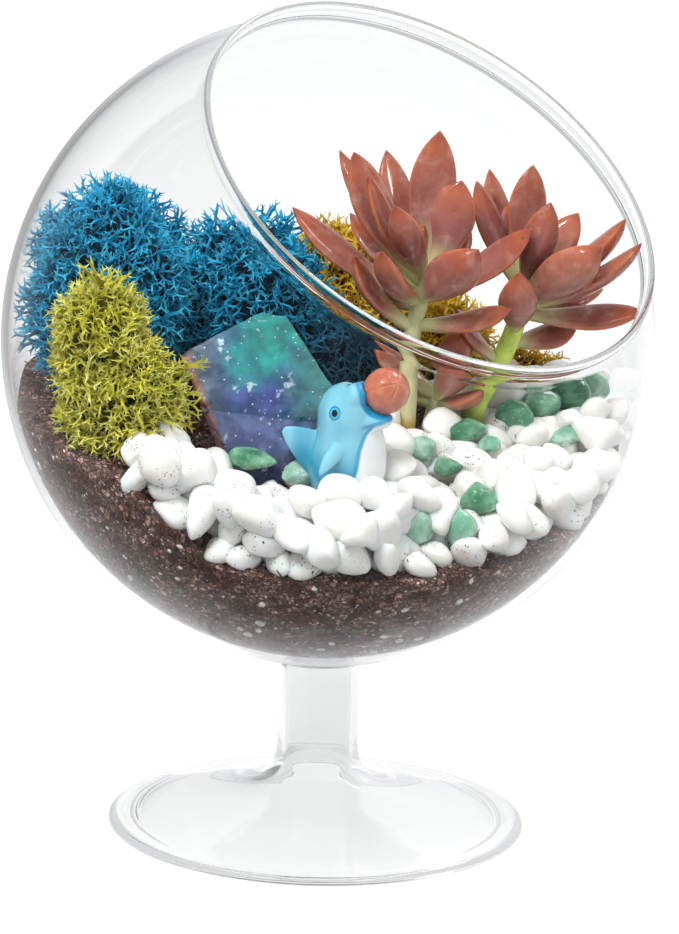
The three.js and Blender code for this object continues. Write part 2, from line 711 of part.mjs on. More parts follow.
add('glass_vessel', solid(globe()).add(solid(stemAndFoot())), 'glass');
add('soil', without(ground(0).intersect(solid(inside(CLEAR))), [...grownPlants, grownCrystal, grownDolphin]), 'soil');
const mossShapes = MOSSES.map(mossShape);
const grownMoss = mossShapes.map((shape) => mossClump(shape, 2 * CLEAR));
const inPebbles = [...grownPlants, grownCrystal, grownDolphin, grownBall, ...grownStones, ...grownMoss];
add('white_pebbles', without(gravel(), inPebbles), 'pebble');
STONES.forEach((shape, i) => {
  const cutters = [grownCrystal, grownDolphin, ...grownPlants];
  add(`green_stone_${String(i + 1).padStart(2, '0')}`, without(stone(shape), cutters), 'greenStone');
});
add('crystal', crystal(), 'crystal');
add('dolphin', dolphin().subtract(grownBall), 'figurine');
add('dolphin_ball', ball(), 'ball');
MOSSES.forEach((moss, i) => {
  const cutters = [ground(CLEAR), grownCrystal, ...grownPlants, ...grownStones, ...grownMoss.slice(0, i)];
  add(moss.name, without(mossClump(mossShapes[i]).intersect(solid(inside(CLEAR))), cutters), moss.look);
});
PLANTS.forEach((plant) => add(plant.name, succulent(plant), 'leaf'));

export default terrarium;
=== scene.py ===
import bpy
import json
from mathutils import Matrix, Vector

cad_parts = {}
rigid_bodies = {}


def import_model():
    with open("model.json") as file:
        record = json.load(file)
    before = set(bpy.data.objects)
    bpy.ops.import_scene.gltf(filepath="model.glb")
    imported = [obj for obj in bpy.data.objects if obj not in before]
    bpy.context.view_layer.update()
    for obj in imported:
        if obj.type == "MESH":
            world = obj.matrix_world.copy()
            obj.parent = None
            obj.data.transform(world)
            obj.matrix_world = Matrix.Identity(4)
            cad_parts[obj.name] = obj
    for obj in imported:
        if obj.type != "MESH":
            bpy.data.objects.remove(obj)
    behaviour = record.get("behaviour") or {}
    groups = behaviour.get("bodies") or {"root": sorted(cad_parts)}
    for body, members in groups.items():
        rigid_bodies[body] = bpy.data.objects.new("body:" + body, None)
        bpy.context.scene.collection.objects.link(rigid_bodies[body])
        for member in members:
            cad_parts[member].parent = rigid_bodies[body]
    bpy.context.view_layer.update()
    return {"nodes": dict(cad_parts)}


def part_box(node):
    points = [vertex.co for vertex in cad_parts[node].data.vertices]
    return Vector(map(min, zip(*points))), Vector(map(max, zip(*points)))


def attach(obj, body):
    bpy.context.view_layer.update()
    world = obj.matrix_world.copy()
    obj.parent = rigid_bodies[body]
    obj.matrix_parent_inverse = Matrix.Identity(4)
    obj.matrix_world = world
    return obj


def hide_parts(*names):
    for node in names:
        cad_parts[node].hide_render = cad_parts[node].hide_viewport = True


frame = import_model()

import json
import math
import random

import bmesh
import bpy
import numpy as np
from bpy.props import FloatProperty, FloatVectorProperty, IntProperty, PointerProperty
from mathutils import Euler, Matrix, Vector, noise
from mathutils.bvhtree import BVHTree

bl_info = {
    "name": "Planted glass globe",
    "version": (1, 0, 0),
    "blender": (4, 5, 0),
    "location": "View3D > Sidebar > Terrarium",
    "description": "Glass globe on a foot with soil, moss, pebbles, a crystal, a dolphin and succulents",
    "category": "Object",
}

# Places and sizes, in millimetres over the middle of the foot's underside
MM = 0.001
BODY = "root"
VESSEL_LOW, VESSEL_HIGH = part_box("glass_vessel")
GLOBE_R = (VESSEL_HIGH.x - VESSEL_LOW.x) / 2 / MM
GLOBE_CENTRE = Vector((0, 0, 117))
GLOBE_WALL = 1.6
INNER_R = GLOBE_R - GLOBE_WALL
MOUTH_TURN = 42
MOUTH_RISE = 51
MOUTH_R = 56.5
LIP_TOP = 54.4
LIP_ROOT = 51
LIP_WALL = 1.4
STEM_R = 9.5
STEM_WALL = 1.8
FOOT_R = 49.2
SOIL_LEVEL = 96.5
SOIL_SLOPE = 0.36
SOIL_FALL = 0.08
SOIL_BACK = 12
SOIL_BANK = 14
UP = Vector((0, 0, 1))


# Numbers and directions
def ease(value, start, end):
    """Smooth step from 0 to 1 between two values."""
    t = min(max((value - start) / (end - start), 0), 1)
    return t * t * (3 - 2 * t)


def heading(turn, rise):
    """Unit vector from a turn in plan, anticlockwise from +X, and a rise, in degrees."""
    t, r = math.radians(turn), math.radians(rise)
    return Vector((math.cos(t) * math.cos(r), math.sin(t) * math.cos(r), math.sin(r)))


MOUTH_AXIS = heading(MOUTH_TURN - 90, MOUTH_RISE)


def soil_height(x, y):
    """Height of the soil at a place in plan: it rises to the back, and is banked up at the left."""
    back = y if y < SOIL_BACK else SOIL_BACK + (y - SOIL_BACK) / 4
    bank = SOIL_BANK * ease(x, -24, -44) * ease(y, 5, -45)
    return SOIL_LEVEL + SOIL_SLOPE * back - SOIL_FALL * x + bank


def spline(points, steps):
    """Points of a Catmull-Rom curve through a list of points of any size."""
    p = np.array([points[0], *points, points[-1]], float)
    curve = []
    for i in range(1, len(p) - 2):
        for t in np.arange(steps) / steps:
            a, b, c, d = p[i - 1:i + 3]
            curve.append(0.5 * (2 * b + (c - a) * t + (2 * a - 5 * b + 4 * c - d) * t ** 2
                                + (3 * b - a - 3 * c + d) * t ** 3))
    return [*curve, p[-1]]


def smooth_value(points, x):
    """Value at x on a smooth curve through rows of x and values."""
    rows = np.array(spline(points, 12))
    return [np.interp(x, rows[:, 0], rows[:, k]) for k in range(1, rows.shape[1])]


# Meshes and objects
def put(name, data, collection=None):
    """Object of a mesh or a lamp, in the scene or in a collection."""
    obj = bpy.data.objects.new(name, data)
    home = bpy.context.scene.collection if collection is None else collection
    home.objects.link(obj)
    return obj


def mesh_from(name, points, faces, unit=1.0):
    mesh = bpy.data.meshes.new(name)
    mesh.from_pydata([tuple(Vector(p) * unit) for p in points], [], faces)
    return mesh


def mesh_of(name, bm):
    """Mesh of a bmesh, which is freed."""
    mesh = bpy.data.meshes.new(name)
    bm.to_mesh(mesh)
    bm.free()
    return mesh


def shaded(mesh):
    """The mesh, with smooth shading."""
    mesh.polygons.foreach_set("use_smooth", [True] * len(mesh.polygons))
    return mesh


def new_object(name, points, faces):
    """Smooth object of a mesh given in millimetres."""
    return put(name, shaded(mesh_from(name, points, faces, MM)))


def joined(parts):
    """One list of points and of faces from several."""
    points, faces = [], []
    for some_points, some_faces in parts:
        faces.extend(tuple(i + len(points) for i in face) for face in some_faces)
        points.extend(some_points)
    return points, faces


def loft(rings):
    """Closed body through rings of the same number of points."""
    sides = len(rings[0])
    points = [p for ring_points in rings for p in ring_points]
    last = len(points) - sides
    faces = []
    for start in range(0, last, sides):
        for j in range(sides):
            k = (j + 1) % sides
            faces.append((start + j, start + k, start + sides + k, start + sides + j))
    faces.append(tuple(range(sides - 1, -1, -1)))
    faces.append(tuple(range(last, last + sides)))
    return points, faces


def round_faces(rows, sides):
    """Faces of a closed body of one point, rows of points round it, and a last point."""
    faces = [(0, 1 + j, 1 + (j + 1) % sides) for j in range(sides)]
    for start in range(1, 1 + (rows - 1) * sides, sides):
        for j in range(sides):
            k = (j + 1) % sides
            faces.append((start + j, start + sides + j, start + sides + k, start + k))
    last = 1 + rows * sides
    faces += [(last - sides + (j + 1) % sides, last - sides + j, last) for j in range(sides)]
    return faces


def course(rows, i):
    """Way that a curve of points takes at one of them."""
    return (Vector(rows[min(i + 1, len(rows) - 1)][:3]) - Vector(rows[max(i - 1, 0)][:3])).normalized()


def ring(centre, along, up, side_r, up_r, sides, up_of=math.sin):
    """Points about a centre, square to the way along, with half sizes to the side and up."""
    side = up.cross(along).normalized()
    high = along.cross(side).normalized()
    turns = [2 * math.pi * i / sides for i in range(sides)]
    return [centre + side * side_r * math.cos(t) + high * up_r * up_of(t) for t in turns]


def store(obj, name, values, kind="FLOAT"):
    """Attribute on the points of an object."""
    layer = obj.data.attributes.new(name, kind, "POINT")
    layer.data.foreach_set("vector" if kind == "FLOAT_VECTOR" else "value", np.ravel(values))


def bake(obj):
    """Turns an object with modifiers into a plain mesh."""
    depsgraph = bpy.context.evaluated_depsgraph_get()
    mesh = bpy.data.meshes.new_from_object(
        obj.evaluated_get(depsgraph), preserve_all_data_layers=True, depsgraph=depsgraph)
    obj.modifiers.clear()
    old, obj.data = obj.data, mesh
    bpy.data.meshes.remove(old)
    return obj


def modify(obj, kind, **settings):
    modifier = obj.modifiers.new(kind.title(), kind)
    for name, value in settings.items():
        setattr(modifier, name, value)
    return obj


def dress(obj, material, slot, *nodes):
    """Gives a piece its material and its body, and hides the solids that it stands for."""
    if not obj.data.materials:
        obj.data.materials.append(material)
    obj.data.name = obj.name
    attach(obj, BODY)
    if nodes:
        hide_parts(*nodes)
    return obj


def turn_outwards(obj):
    """Makes a closed mesh's faces point outwards."""
    bm = bmesh.new()
    bm.from_mesh(obj.data)
    if bm.calc_volume(signed=True) < 0:
        bmesh.ops.reverse_faces(bm, faces=bm.faces)
    bm.to_mesh(obj.data)
    bm.free()
    return obj


# Node trees
GEOMETRY = "NodeSocketGeometry"
MATERIAL = "NodeSocketMaterial"
COLLECTION = "NodeSocketCollection"
VECTOR = "NodeSocketVector"
COLOUR = "NodeSocketColor"
FLOAT = "NodeSocketFloat"
INT = "NodeSocketInt"
BLACK = (0, 0, 0, 1)
WHITE = (1, 1, 1, 1)


def add_node(tree, kind, inputs=None, **settings):
    """Adds a node, sets its properties, and sets or links its inputs."""
    node = tree.nodes.new(kind)
    for name, value in settings.items():
        setattr(node, name, value)
    for name, value in (inputs or {}).items():
        fill(tree, node.inputs[name], value)
    return node


def fill(tree, socket, value):
    """Links a socket to another, or sets it to a plain value."""
    if isinstance(value, bpy.types.NodeSocket):
        tree.links.new(value, socket)
    else:
        socket.default_value = value


def new_tree(name, kind, inputs, outputs):
    """Node group with named sockets, and its input and output nodes."""
    tree = bpy.data.node_groups.new(name, kind)
    for in_out, sockets in (("INPUT", inputs), ("OUTPUT", outputs)):
        for socket, (socket_type, default) in sockets.items():
            item = tree.interface.new_socket(name=socket, in_out=in_out, socket_type=socket_type)
            if default is not None:
                item.default_value = default
    return tree, tree.nodes.new("NodeGroupInput"), tree.nodes.new("NodeGroupOutput")


def run_tree(obj, tree, **values):
    """Runs a geometry tree on an object with its inputs set by name, and keeps the plain result."""
    modifier = obj.modifiers.new(tree.name, "NODES")
    modifier.node_group = tree
    for item in tree.interface.items_tree:
        if item.item_type == "SOCKET" and item.in_out == "INPUT" and item.name in values:
            modifier[item.identifier] = values[item.name]
    return bake(obj)


def maths(tree, operation, a, b=0.0, c=0.0):
    return add_node(tree, "ShaderNodeMath", {0: a, 1: b, 2: c}, operation=operation).outputs[0]


def vector_maths(tree, operation, a, b):
    return add_node(tree, "ShaderNodeVectorMath", {0: a, 1: b}, operation=operation).outputs[0]


def scaled(tree, vector, factor):
    node = add_node(tree, "ShaderNodeVectorMath", {0: vector, "Scale": factor}, operation="SCALE")
    return node.outputs[0]


def split(tree, vector):
    return add_node(tree, "ShaderNodeSeparateXYZ", {0: vector}).outputs


def combined(tree, x, y, z):
    return add_node(tree, "ShaderNodeCombineXYZ", {"X": x, "Y": y, "Z": z}).outputs[0]


def smooth_step(tree, value, low, high, start=0.0, end=1.0):
    """Value that goes smoothly from start to end while another goes from low to high."""
    return add_node(tree, "ShaderNodeMapRange", {
        "Value": value, "From Min": low, "From Max": high, "To Min": start, "To Max": end},
        interpolation_type="SMOOTHSTEP").outputs[0]


def mixed(tree, mask, low, high, blend="MIX"):
    """Colour between two others by a mask."""
    return add_node(tree, "ShaderNodeMix", {0: mask, 6: low, 7: high},
                    data_type="RGBA", blend_type=blend).outputs[2]


def mixed_shader(tree, share, first, second):
    return add_node(tree, "ShaderNodeMixShader", {0: share, 1: first, 2: second}).outputs[0]


def finish_geometry(tree, out, geometry, material):
    """Gives what a geometry tree puts out its material."""
    made = add_node(tree, "GeometryNodeSetMaterial", {"Geometry": geometry, "Material": material})
    tree.links.new(made.outputs[0], out.inputs["Geometry"])
    return tree


def children(tree, collection):
    """The shapes of a collection, each by itself."""
    return add_node(tree, "GeometryNodeCollectionInfo", {
        "Collection": collection, "Separate Children": True, "Reset Children": True}).outputs[0]


def turned_tree():
    """Solid of revolution about Z from a profile in the XZ plane."""
    tree, given, out = new_tree(
        "Turned glass", "GeometryNodeTree",
        {"Profile": (GEOMETRY, None), "Sides": (INT, 96), "Material": (MATERIAL, None)},
        {"Geometry": (GEOMETRY, None)})
    size = add_node(tree, "GeometryNodeAttributeDomainSize", {"Geometry": given.outputs["Profile"]})
    count = size.outputs["Point Count"]
    grid = add_node(tree, "GeometryNodeMeshGrid", {
        "Size X": 1.0, "Size Y": 1.0, "Vertices X": maths(tree, "ADD", given.outputs["Sides"], 1),
        "Vertices Y": count})
    x, y, _ = split(tree, add_node(tree, "GeometryNodeInputPosition").outputs[0])
    turn = maths(tree, "MULTIPLY", maths(tree, "ADD", x, 0.5), 2 * math.pi)
    share = maths(tree, "ADD", y, 0.5)
    row = maths(tree, "ROUND", maths(tree, "MULTIPLY", share, maths(tree, "SUBTRACT", count, 1)))
    point = add_node(tree, "GeometryNodeSampleIndex", {
        "Geometry": given.outputs["Profile"],
        "Value": add_node(tree, "GeometryNodeInputPosition").outputs[0],
        "Index": row}, data_type="FLOAT_VECTOR")
    radius, _, height = split(tree, point.outputs["Value"])
    moved = combined(tree, maths(tree, "MULTIPLY", radius, maths(tree, "COSINE", turn)),
                     maths(tree, "MULTIPLY", radius, maths(tree, "SINE", turn)), height)
    shape = add_node(tree, "GeometryNodeSetPosition", {"Geometry": grid.outputs["Mesh"], "Position": moved})
    merged = add_node(tree, "GeometryNodeMergeByDistance", {"Geometry": shape.outputs[0], "Distance": 1e-6})
    smooth = add_node(tree, "GeometryNodeSetShadeSmooth", {"Geometry": merged.outputs[0]})
    return finish_geometry(tree, out, smooth.outputs[0], given.outputs["Material"])


def scattered_tree():
    """Copies on points that hold the size, spin and kind of each."""
    tree, given, out = new_tree(
        "Scattered copies", "GeometryNodeTree",
        {"Points": (GEOMETRY, None), "Copies": (COLLECTION, None), "Material": (MATERIAL, None)},
        {"Geometry": (GEOMETRY, None)})

    def held(name, kind):
        node = add_node(tree, "GeometryNodeInputNamedAttribute", {"Name": name}, data_type=kind)
        return node.outputs["Attribute"]

    rotation = add_node(tree, "FunctionNodeEulerToRotation", {0: held("spin", "FLOAT_VECTOR")})
    placed = add_node(tree, "GeometryNodeInstanceOnPoints", {
        "Points": given.outputs["Points"], "Instance": children(tree, given.outputs["Copies"]),
        "Pick Instance": True, "Instance Index": held("kind", "INT"), "Rotation": rotation.outputs[0],
        "Scale": held("size", "FLOAT_VECTOR")})
    real = add_node(tree, "GeometryNodeRealizeInstances", {"Geometry": placed.outputs[0]})
    return finish_geometry(tree, out, real.outputs[0], given.outputs["Material"])


def moss_tree():
    """Forked sprigs that stand out of a core all round, pressed flat where they meet the glass."""
    tree, given, out = new_tree(
        "Moss sprigs", "GeometryNodeTree",
        {"Core": (GEOMETRY, None), "Sprigs": (COLLECTION, None), "Spacing": (FLOAT, 0.0016),
         "Length": (FLOAT, 0.007), "Spread": (FLOAT, 0.9), "Seed": (INT, 0), "Glass radius": (FLOAT, 0.07),
         "Glass centre": (VECTOR, (0, 0, 0.117)), "Material": (MATERIAL, None)},
        {"Geometry": (GEOMETRY, None)})
    seed, spacing, spread = (given.outputs[name] for name in ("Seed", "Spacing", "Spread"))
    clouds = add_node(tree, "ShaderNodeTexNoise", {"Scale": 130.0, "Detail": 2.0})
    thick = add_node(tree, "ShaderNodeMapRange", {
        "Value": clouds.outputs[0], "From Min": 0.38, "From Max": 0.55, "To Min": 0.3})
    points = add_node(tree, "GeometryNodeDistributePointsOnFaces", {
        "Mesh": given.outputs["Core"], "Distance Min": maths(tree, "MULTIPLY", spacing, 0.5),
        "Density Max": maths(tree, "DIVIDE", 1.0, maths(tree, "POWER", spacing, 2.0)),
        "Density Factor": thick.outputs[0], "Seed": seed}, distribute_method="POISSON")

    def chance(kind, low, high, shift):
        """Random value of each sprig between two ends."""
        own_seed = add_node(tree, "FunctionNodeIntegerMath", {0: seed, 1: shift}).outputs[0]
        node = add_node(tree, "FunctionNodeRandomValue", {"Seed": own_seed}, data_type=kind)
        ends = [s for s in node.inputs if s.enabled and s.name in ("Min", "Max")]
        for socket, value in zip(ends, (low, high)):
            fill(tree, socket, value)
        return next(s for s in node.outputs if s.enabled)

    back = maths(tree, "MULTIPLY", spread, -1.0)
    lean = combined(tree, chance("FLOAT", back, spread, 1), chance("FLOAT", back, spread, 2),
                    chance("FLOAT", 0.0, 2 * math.pi, 3))
    rotation = add_node(tree, "FunctionNodeRotateRotation", {
        0: points.outputs["Rotation"],
        1: add_node(tree, "FunctionNodeEulerToRotation", {0: lean}).outputs[0]}, rotation_space="LOCAL")
    # One sprig in forty is longer than the others
    stray = maths(tree, "GREATER_THAN", chance("FLOAT", 0.0, 1.0, 7), 0.975)
    share = maths(tree, "MULTIPLY_ADD", stray, 0.45, chance("FLOAT", 0.6, 1.15, 4))
    placed = add_node(tree, "GeometryNodeInstanceOnPoints", {
        "Points": points.outputs["Points"], "Instance": children(tree, given.outputs["Sprigs"]),
        "Pick Instance": True, "Instance Index": chance("INT", 0, 7, 5), "Rotation": rotation.outputs[0],
        "Scale": maths(tree, "MULTIPLY", given.outputs["Length"], share)})
    tinted = add_node(tree, "GeometryNodeStoreNamedAttribute", {
        "Geometry": placed.outputs[0], "Name": "tint", "Value": chance("FLOAT", 0.0, 1.0, 6)},
        data_type="FLOAT", domain="INSTANCE")
    real = add_node(tree, "GeometryNodeRealizeInstances", {"Geometry": tinted.outputs[0]})
    whole = add_node(tree, "GeometryNodeJoinGeometry")
    tree.links.new(given.outputs["Core"], whole.inputs[0])
    tree.links.new(real.outputs[0], whole.inputs[0])

    centre = given.outputs["Glass centre"]
    off = vector_maths(tree, "SUBTRACT", add_node(tree, "GeometryNodeInputPosition").outputs[0], centre)
    far = add_node(tree, "ShaderNodeVectorMath", {0: off}, operation="LENGTH").outputs["Value"]
    pressed = maths(tree, "MINIMUM", maths(tree, "DIVIDE", given.outputs["Glass radius"], far), 1.0)
    held = vector_maths(tree, "ADD", scaled(tree, off, pressed), centre)
    shape = add_node(tree, "GeometryNodeSetPosition", {"Geometry": whole.outputs[0], "Position": held})
    return finish_geometry(tree, out, shape.outputs[0], given.outputs["Material"])


# Shader groups
GROUPS = {}


def object_place(tree):
    return add_node(tree, "ShaderNodeTexCoord").outputs["Object"]


def cloud_of(tree, given):
    """Fine noise of the size and detail that a group is given."""
    return add_node(tree, "ShaderNodeTexNoise", {
        "Vector": object_place(tree), "Scale": given.outputs["Scale"], "Detail": given.outputs["Detail"],
        "Roughness": 0.6}).outputs[0]


def uneven_group():
    """Colour that drifts between two tones in patches."""
    tree, given, out = new_tree(
        "Uneven colour", "ShaderNodeTree",
        {"Scale": (FLOAT, 300.0), "Detail": (FLOAT, 4.0), "Low": (FLOAT, 0.35), "High": (FLOAT, 0.65),
         "Dark": (COLOUR, BLACK), "Light": (COLOUR, WHITE)},
        {"Color": (COLOUR, None), "Mask": (FLOAT, None)})
    mask = smooth_step(tree, cloud_of(tree, given), given.outputs["Low"], given.outputs["High"])
    colours = mixed(tree, mask, given.outputs["Dark"], given.outputs["Light"])
    tree.links.new(colours, out.inputs["Color"])
    tree.links.new(mask, out.inputs["Mask"])
    return tree


def grain_group():
    """Normal with small bumps of a given size and height."""
    tree, given, out = new_tree(
        "Grain", "ShaderNodeTree",
        {"Scale": (FLOAT, 900.0), "Detail": (FLOAT, 3.0), "Strength": (FLOAT, 0.4),
         "Height": (FLOAT, 0.0002)},
        {"Normal": (VECTOR, None)})
    bump = add_node(tree, "ShaderNodeBump", {
        "Strength": given.outputs["Strength"], "Distance": given.outputs["Height"],
        "Height": cloud_of(tree, given)})
    tree.links.new(bump.outputs[0], out.inputs["Normal"])
    return tree


def specks_group():
    """Mask of scattered small specks: the share of cells that have one, and their size in a cell."""
    tree, given, out = new_tree(
        "Specks", "ShaderNodeTree",
        {"Scale": (FLOAT, 700.0), "Share": (FLOAT, 0.15), "Size": (FLOAT, 0.3)},
        {"Mask": (FLOAT, None)})
    at = object_place(tree)
    warp = add_node(tree, "ShaderNodeTexNoise", {"Vector": at, "Scale": given.outputs["Scale"]})
    bent = vector_maths(tree, "ADD", at, scaled(tree, warp.outputs["Color"], 0.0006))
    cells = add_node(tree, "ShaderNodeTexVoronoi", {"Vector": bent, "Scale": given.outputs["Scale"]})
    chance = add_node(tree, "ShaderNodeSeparateColor", {0: cells.outputs["Color"]}).outputs[0]
    chosen = maths(tree, "LESS_THAN", chance, given.outputs["Share"])
    near = maths(tree, "LESS_THAN", cells.outputs["Distance"], given.outputs["Size"])
    tree.links.new(maths(tree, "MULTIPLY", chosen, near), out.inputs["Mask"])
    return tree


class Look:
    """Material under construction: one Principled shader and what feeds it."""

    def __init__(self, name, **settings):
        self.material = bpy.data.materials.new(name)
        self.material.use_nodes = True
        self.tree = self.material.node_tree
        self.shader = self.tree.nodes["Principled BSDF"]
        for socket, value in settings.items():
            self.shader.inputs[socket.replace("_", " ")].default_value = value

    def feed(self, socket, source):
        self.tree.links.new(source, self.shader.inputs[socket])

    def surface(self, source):
        self.tree.links.new(source, self.tree.nodes["Material Output"].inputs["Surface"])

    def group(self, name, **values):
        node = self.tree.nodes.new("ShaderNodeGroup")
        node.node_tree = GROUPS[name]
        for socket, value in values.items():
            node.inputs[socket].default_value = value
        return node.outputs

    def patches(self, **values):
        """Colour and mask of two tones in patches."""
        return self.group("Uneven colour", **values)

    def specks(self, scale, share, size):
        return self.group("Specks", Scale=scale, Share=share, Size=size)["Mask"]

    def grain(self, **values):
        """Feeds small bumps to the shader."""
        self.feed("Normal", self.group("Grain", **values)["Normal"])

    def mix(self, mask, low, high, share=None, blend="MIX"):
        """Colour between two others by a mask, or by a share of it."""
        factor = mask if share is None else self.maths("MULTIPLY", mask, share)
        return mixed(self.tree, factor, low, high, blend)

    def attribute(self, name):
        return add_node(self.tree, "ShaderNodeAttribute", attribute_name=name).outputs["Fac"]

    def place(self):
        return split(self.tree, object_place(self.tree))

    def step(self, value, low, high):
        return smooth_step(self.tree, value, low, high)

    def maths(self, operation, a, b=0.0):
        return maths(self.tree, operation, a, b)


def rgb(code):
    """Linear colour from a hex code."""
    parts = [int(code[i:i + 2], 16) / 255 for i in (0, 2, 4)]
    return (*[c / 12.92 if c <= 0.04045 else ((c + 0.055) / 1.055) ** 2.4 for c in parts], 1)


# Materials
# A ray that has met fewer faces of glass than this is at the nearest wall
NEAREST_WALL = 1.5
# A ray that has turned more often than this has gone to and fro inside the wall for long
LOST_AFTER = 6.5
# How much higher the shade on the blue moss reaches behind the stems
STEM_SHADE = 0.012


def glass_look(name, tint, polariser, glow_colour, settings):
    """Glass whose nearest wall mirrors less of the room, so that no veil hides what is inside."""
    look = Look(name, Base_Color=(*tint, 1), Roughness=0.0, IOR=settings.ior, Transmission_Weight=1.0)
    look.grain(Scale=28.0, Detail=0.0, Strength=0.25, Height=0.0004)
    tree = look.tree
    clear = add_node(tree, "ShaderNodeBsdfTransparent", {"Color": (*settings.shadow, 1)})
    bare = add_node(tree, "ShaderNodeBsdfRefraction", {
        "Color": (*tint, 1), "Roughness": 0.0, "IOR": settings.ior,
        "Normal": look.shader.inputs["Normal"].links[0].from_socket})
    path = add_node(tree, "ShaderNodeLightPath").outputs
    met = maths(tree, "ADD", path["Transmission Depth"], path["Glossy Depth"])
    near = maths(tree, "LESS_THAN", met, NEAREST_WALL)
    facing = add_node(tree, "ShaderNodeLayerWeight", {"Blend": 0.5}).outputs["Facing"]
    outer = smooth_step(tree, facing, 0.55, 0.97, polariser, polariser * 0.5)
    inner = smooth_step(tree, facing, 0.16, 0.24, polariser, 0.0)
    inside = add_node(tree, "ShaderNodeNewGeometry").outputs["Backfacing"]
    taken = add_node(tree, "ShaderNodeMix", {0: inside, 2: outer, 3: inner}).outputs[0]
    glass = mixed_shader(tree, maths(tree, "MULTIPLY", near, taken), look.shader.outputs[0], bare.outputs[0])
    # Painted glow: where a ray has gone to and fro inside the wall for long, the glass glows a plain grey
    pale = add_node(tree, "ShaderNodeEmission", {"Color": rgb(glow_colour), "Strength": 1.0})
    painted_glow_mask = maths(tree, "MULTIPLY", maths(tree, "GREATER_THAN", path["Ray Depth"], LOST_AFTER),
                 maths(tree, "LESS_THAN", path["Diffuse Depth"], 0.5))
    ended = mixed_shader(tree, painted_glow_mask, glass, pale.outputs[0])
    look.surface(mixed_shader(tree, path["Is Shadow Ray"], ended, clear.outputs[0]))
    return look.material


def soil_look(settings):
    look = Look("potting_soil", Roughness=0.95, Specular_IOR_Level=0.2)
    tree = look.tree
    at = object_place(tree)
    swirl = add_node(tree, "ShaderNodeTexNoise", {"Vector": at, "Scale": 900.0, "Detail": 2.0})
    bent = vector_maths(tree, "ADD", at, scaled(tree, swirl.outputs["Color"], 0.0012))
    ground = look.patches(Scale=150.0, Detail=6.0, Low=0.38, High=0.64, Dark=(*settings.dark, 1),
                          Light=(*settings.light, 1))["Color"]
    heights = []
    # Coarse crumbs, then fine ones: cells to a metre, and how much they show
    for size, strength in ((640.0, 0.7), (1500.0, 0.6)):
        inputs = {"Vector": bent, "Scale": size}
        crumbs = add_node(tree, "ShaderNodeTexVoronoi", inputs)
        gaps = add_node(tree, "ShaderNodeTexVoronoi", inputs, feature="DISTANCE_TO_EDGE")
        tone = add_node(tree, "ShaderNodeSeparateColor", {0: crumbs.outputs["Color"]}).outputs[0]
        # Painted shade: each crumb is darkened towards the gaps between crumbs, and its own tone differs at
        # random
        raised = look.step(gaps.outputs["Distance"], 0.0, 0.16)
        bright = maths(tree, "MULTIPLY_ADD", maths(tree, "POWER", tone, 3.0), 2.2, 0.45)
        light = maths(tree, "MULTIPLY", raised, bright)
        heights.append(maths(tree, "MULTIPLY", raised, maths(tree, "ADD", tone, 0.5)))
        factor = add_node(tree, "ShaderNodeCombineColor", {0: light, 1: light, 2: light}).outputs[0]
        ground = look.mix(strength, ground, factor, blend="MULTIPLY")
    ground = look.mix(look.specks(1300.0, 0.07, 0.3), ground, rgb("84705f"))
    look.feed("Base Color", look.mix(look.specks(1000.0, 0.09, 0.32), ground, rgb("d9d3cc")))
    bump = add_node(tree, "ShaderNodeBump", {
        "Strength": 0.8, "Distance": 0.0008, "Height": maths(tree, "ADD", *heights)})
    look.feed("Normal", bump.outputs[0])
    return look.material


def perlite_look():
    look = Look("perlite", Roughness=0.85)
    look.feed("Base Color", look.patches(Scale=900.0, Detail=2.0, Low=0.3, High=0.6, Dark=rgb("b9b2ab"),
                                         Light=rgb("f6f3ee"))["Color"])
    look.grain(Scale=2500.0, Strength=0.5, Height=0.0001)
    return look.material


def fibre_look():
    look = Look("fibres", Roughness=0.8)
    look.feed("Base Color", look.patches(Scale=500.0, Detail=1.0, Low=0.4, High=0.6, Dark=rgb("4f3324"),
                                         Light=rgb("a27a52"))["Color"])
    return look.material


def pebble_look(settings):
    look = Look("white_pebble", Roughness=0.42, Specular_IOR_Level=0.5, Subsurface_Weight=0.25,
                Subsurface_Scale=0.004)
    stone = look.patches(Scale=110.0, Detail=6.0, Low=0.3, High=0.62, Dark=(*settings.shade, 1),
                         Light=(*settings.white, 1))["Color"]
    dirt = look.patches(Scale=240.0, Detail=3.0, Low=0.5, High=0.62)["Mask"]
    dirty = look.maths("MULTIPLY", look.maths("MULTIPLY", look.specks(1650.0, 0.5, 0.34), dirt),
                       look.attribute("dirt"))
    look.feed("Base Color", look.mix(dirty, stone, rgb("3a2c26")))
    look.grain(Scale=420.0, Detail=4.0, Strength=0.25, Height=0.0004)
    return look.material


def green_stone_look(name, dark, light):
    look = Look(name, Roughness=0.14, Transmission_Weight=0.35, IOR=1.54, Coat_Weight=0.6,
                Coat_Roughness=0.05)
    cloud = look.patches(Scale=190.0, Detail=6.0, Low=0.36, High=0.66, Dark=dark, Light=light)
    look.feed("Base Color", look.mix(look.specks(1900.0, 0.12, 0.25), cloud["Color"], rgb("d7efe2")))
    look.feed("Roughness", look.step(cloud["Mask"], -1.2, 5.0))
    look.grain(Scale=260.0, Detail=2.0, Strength=0.2, Height=0.0003)
    return look.material


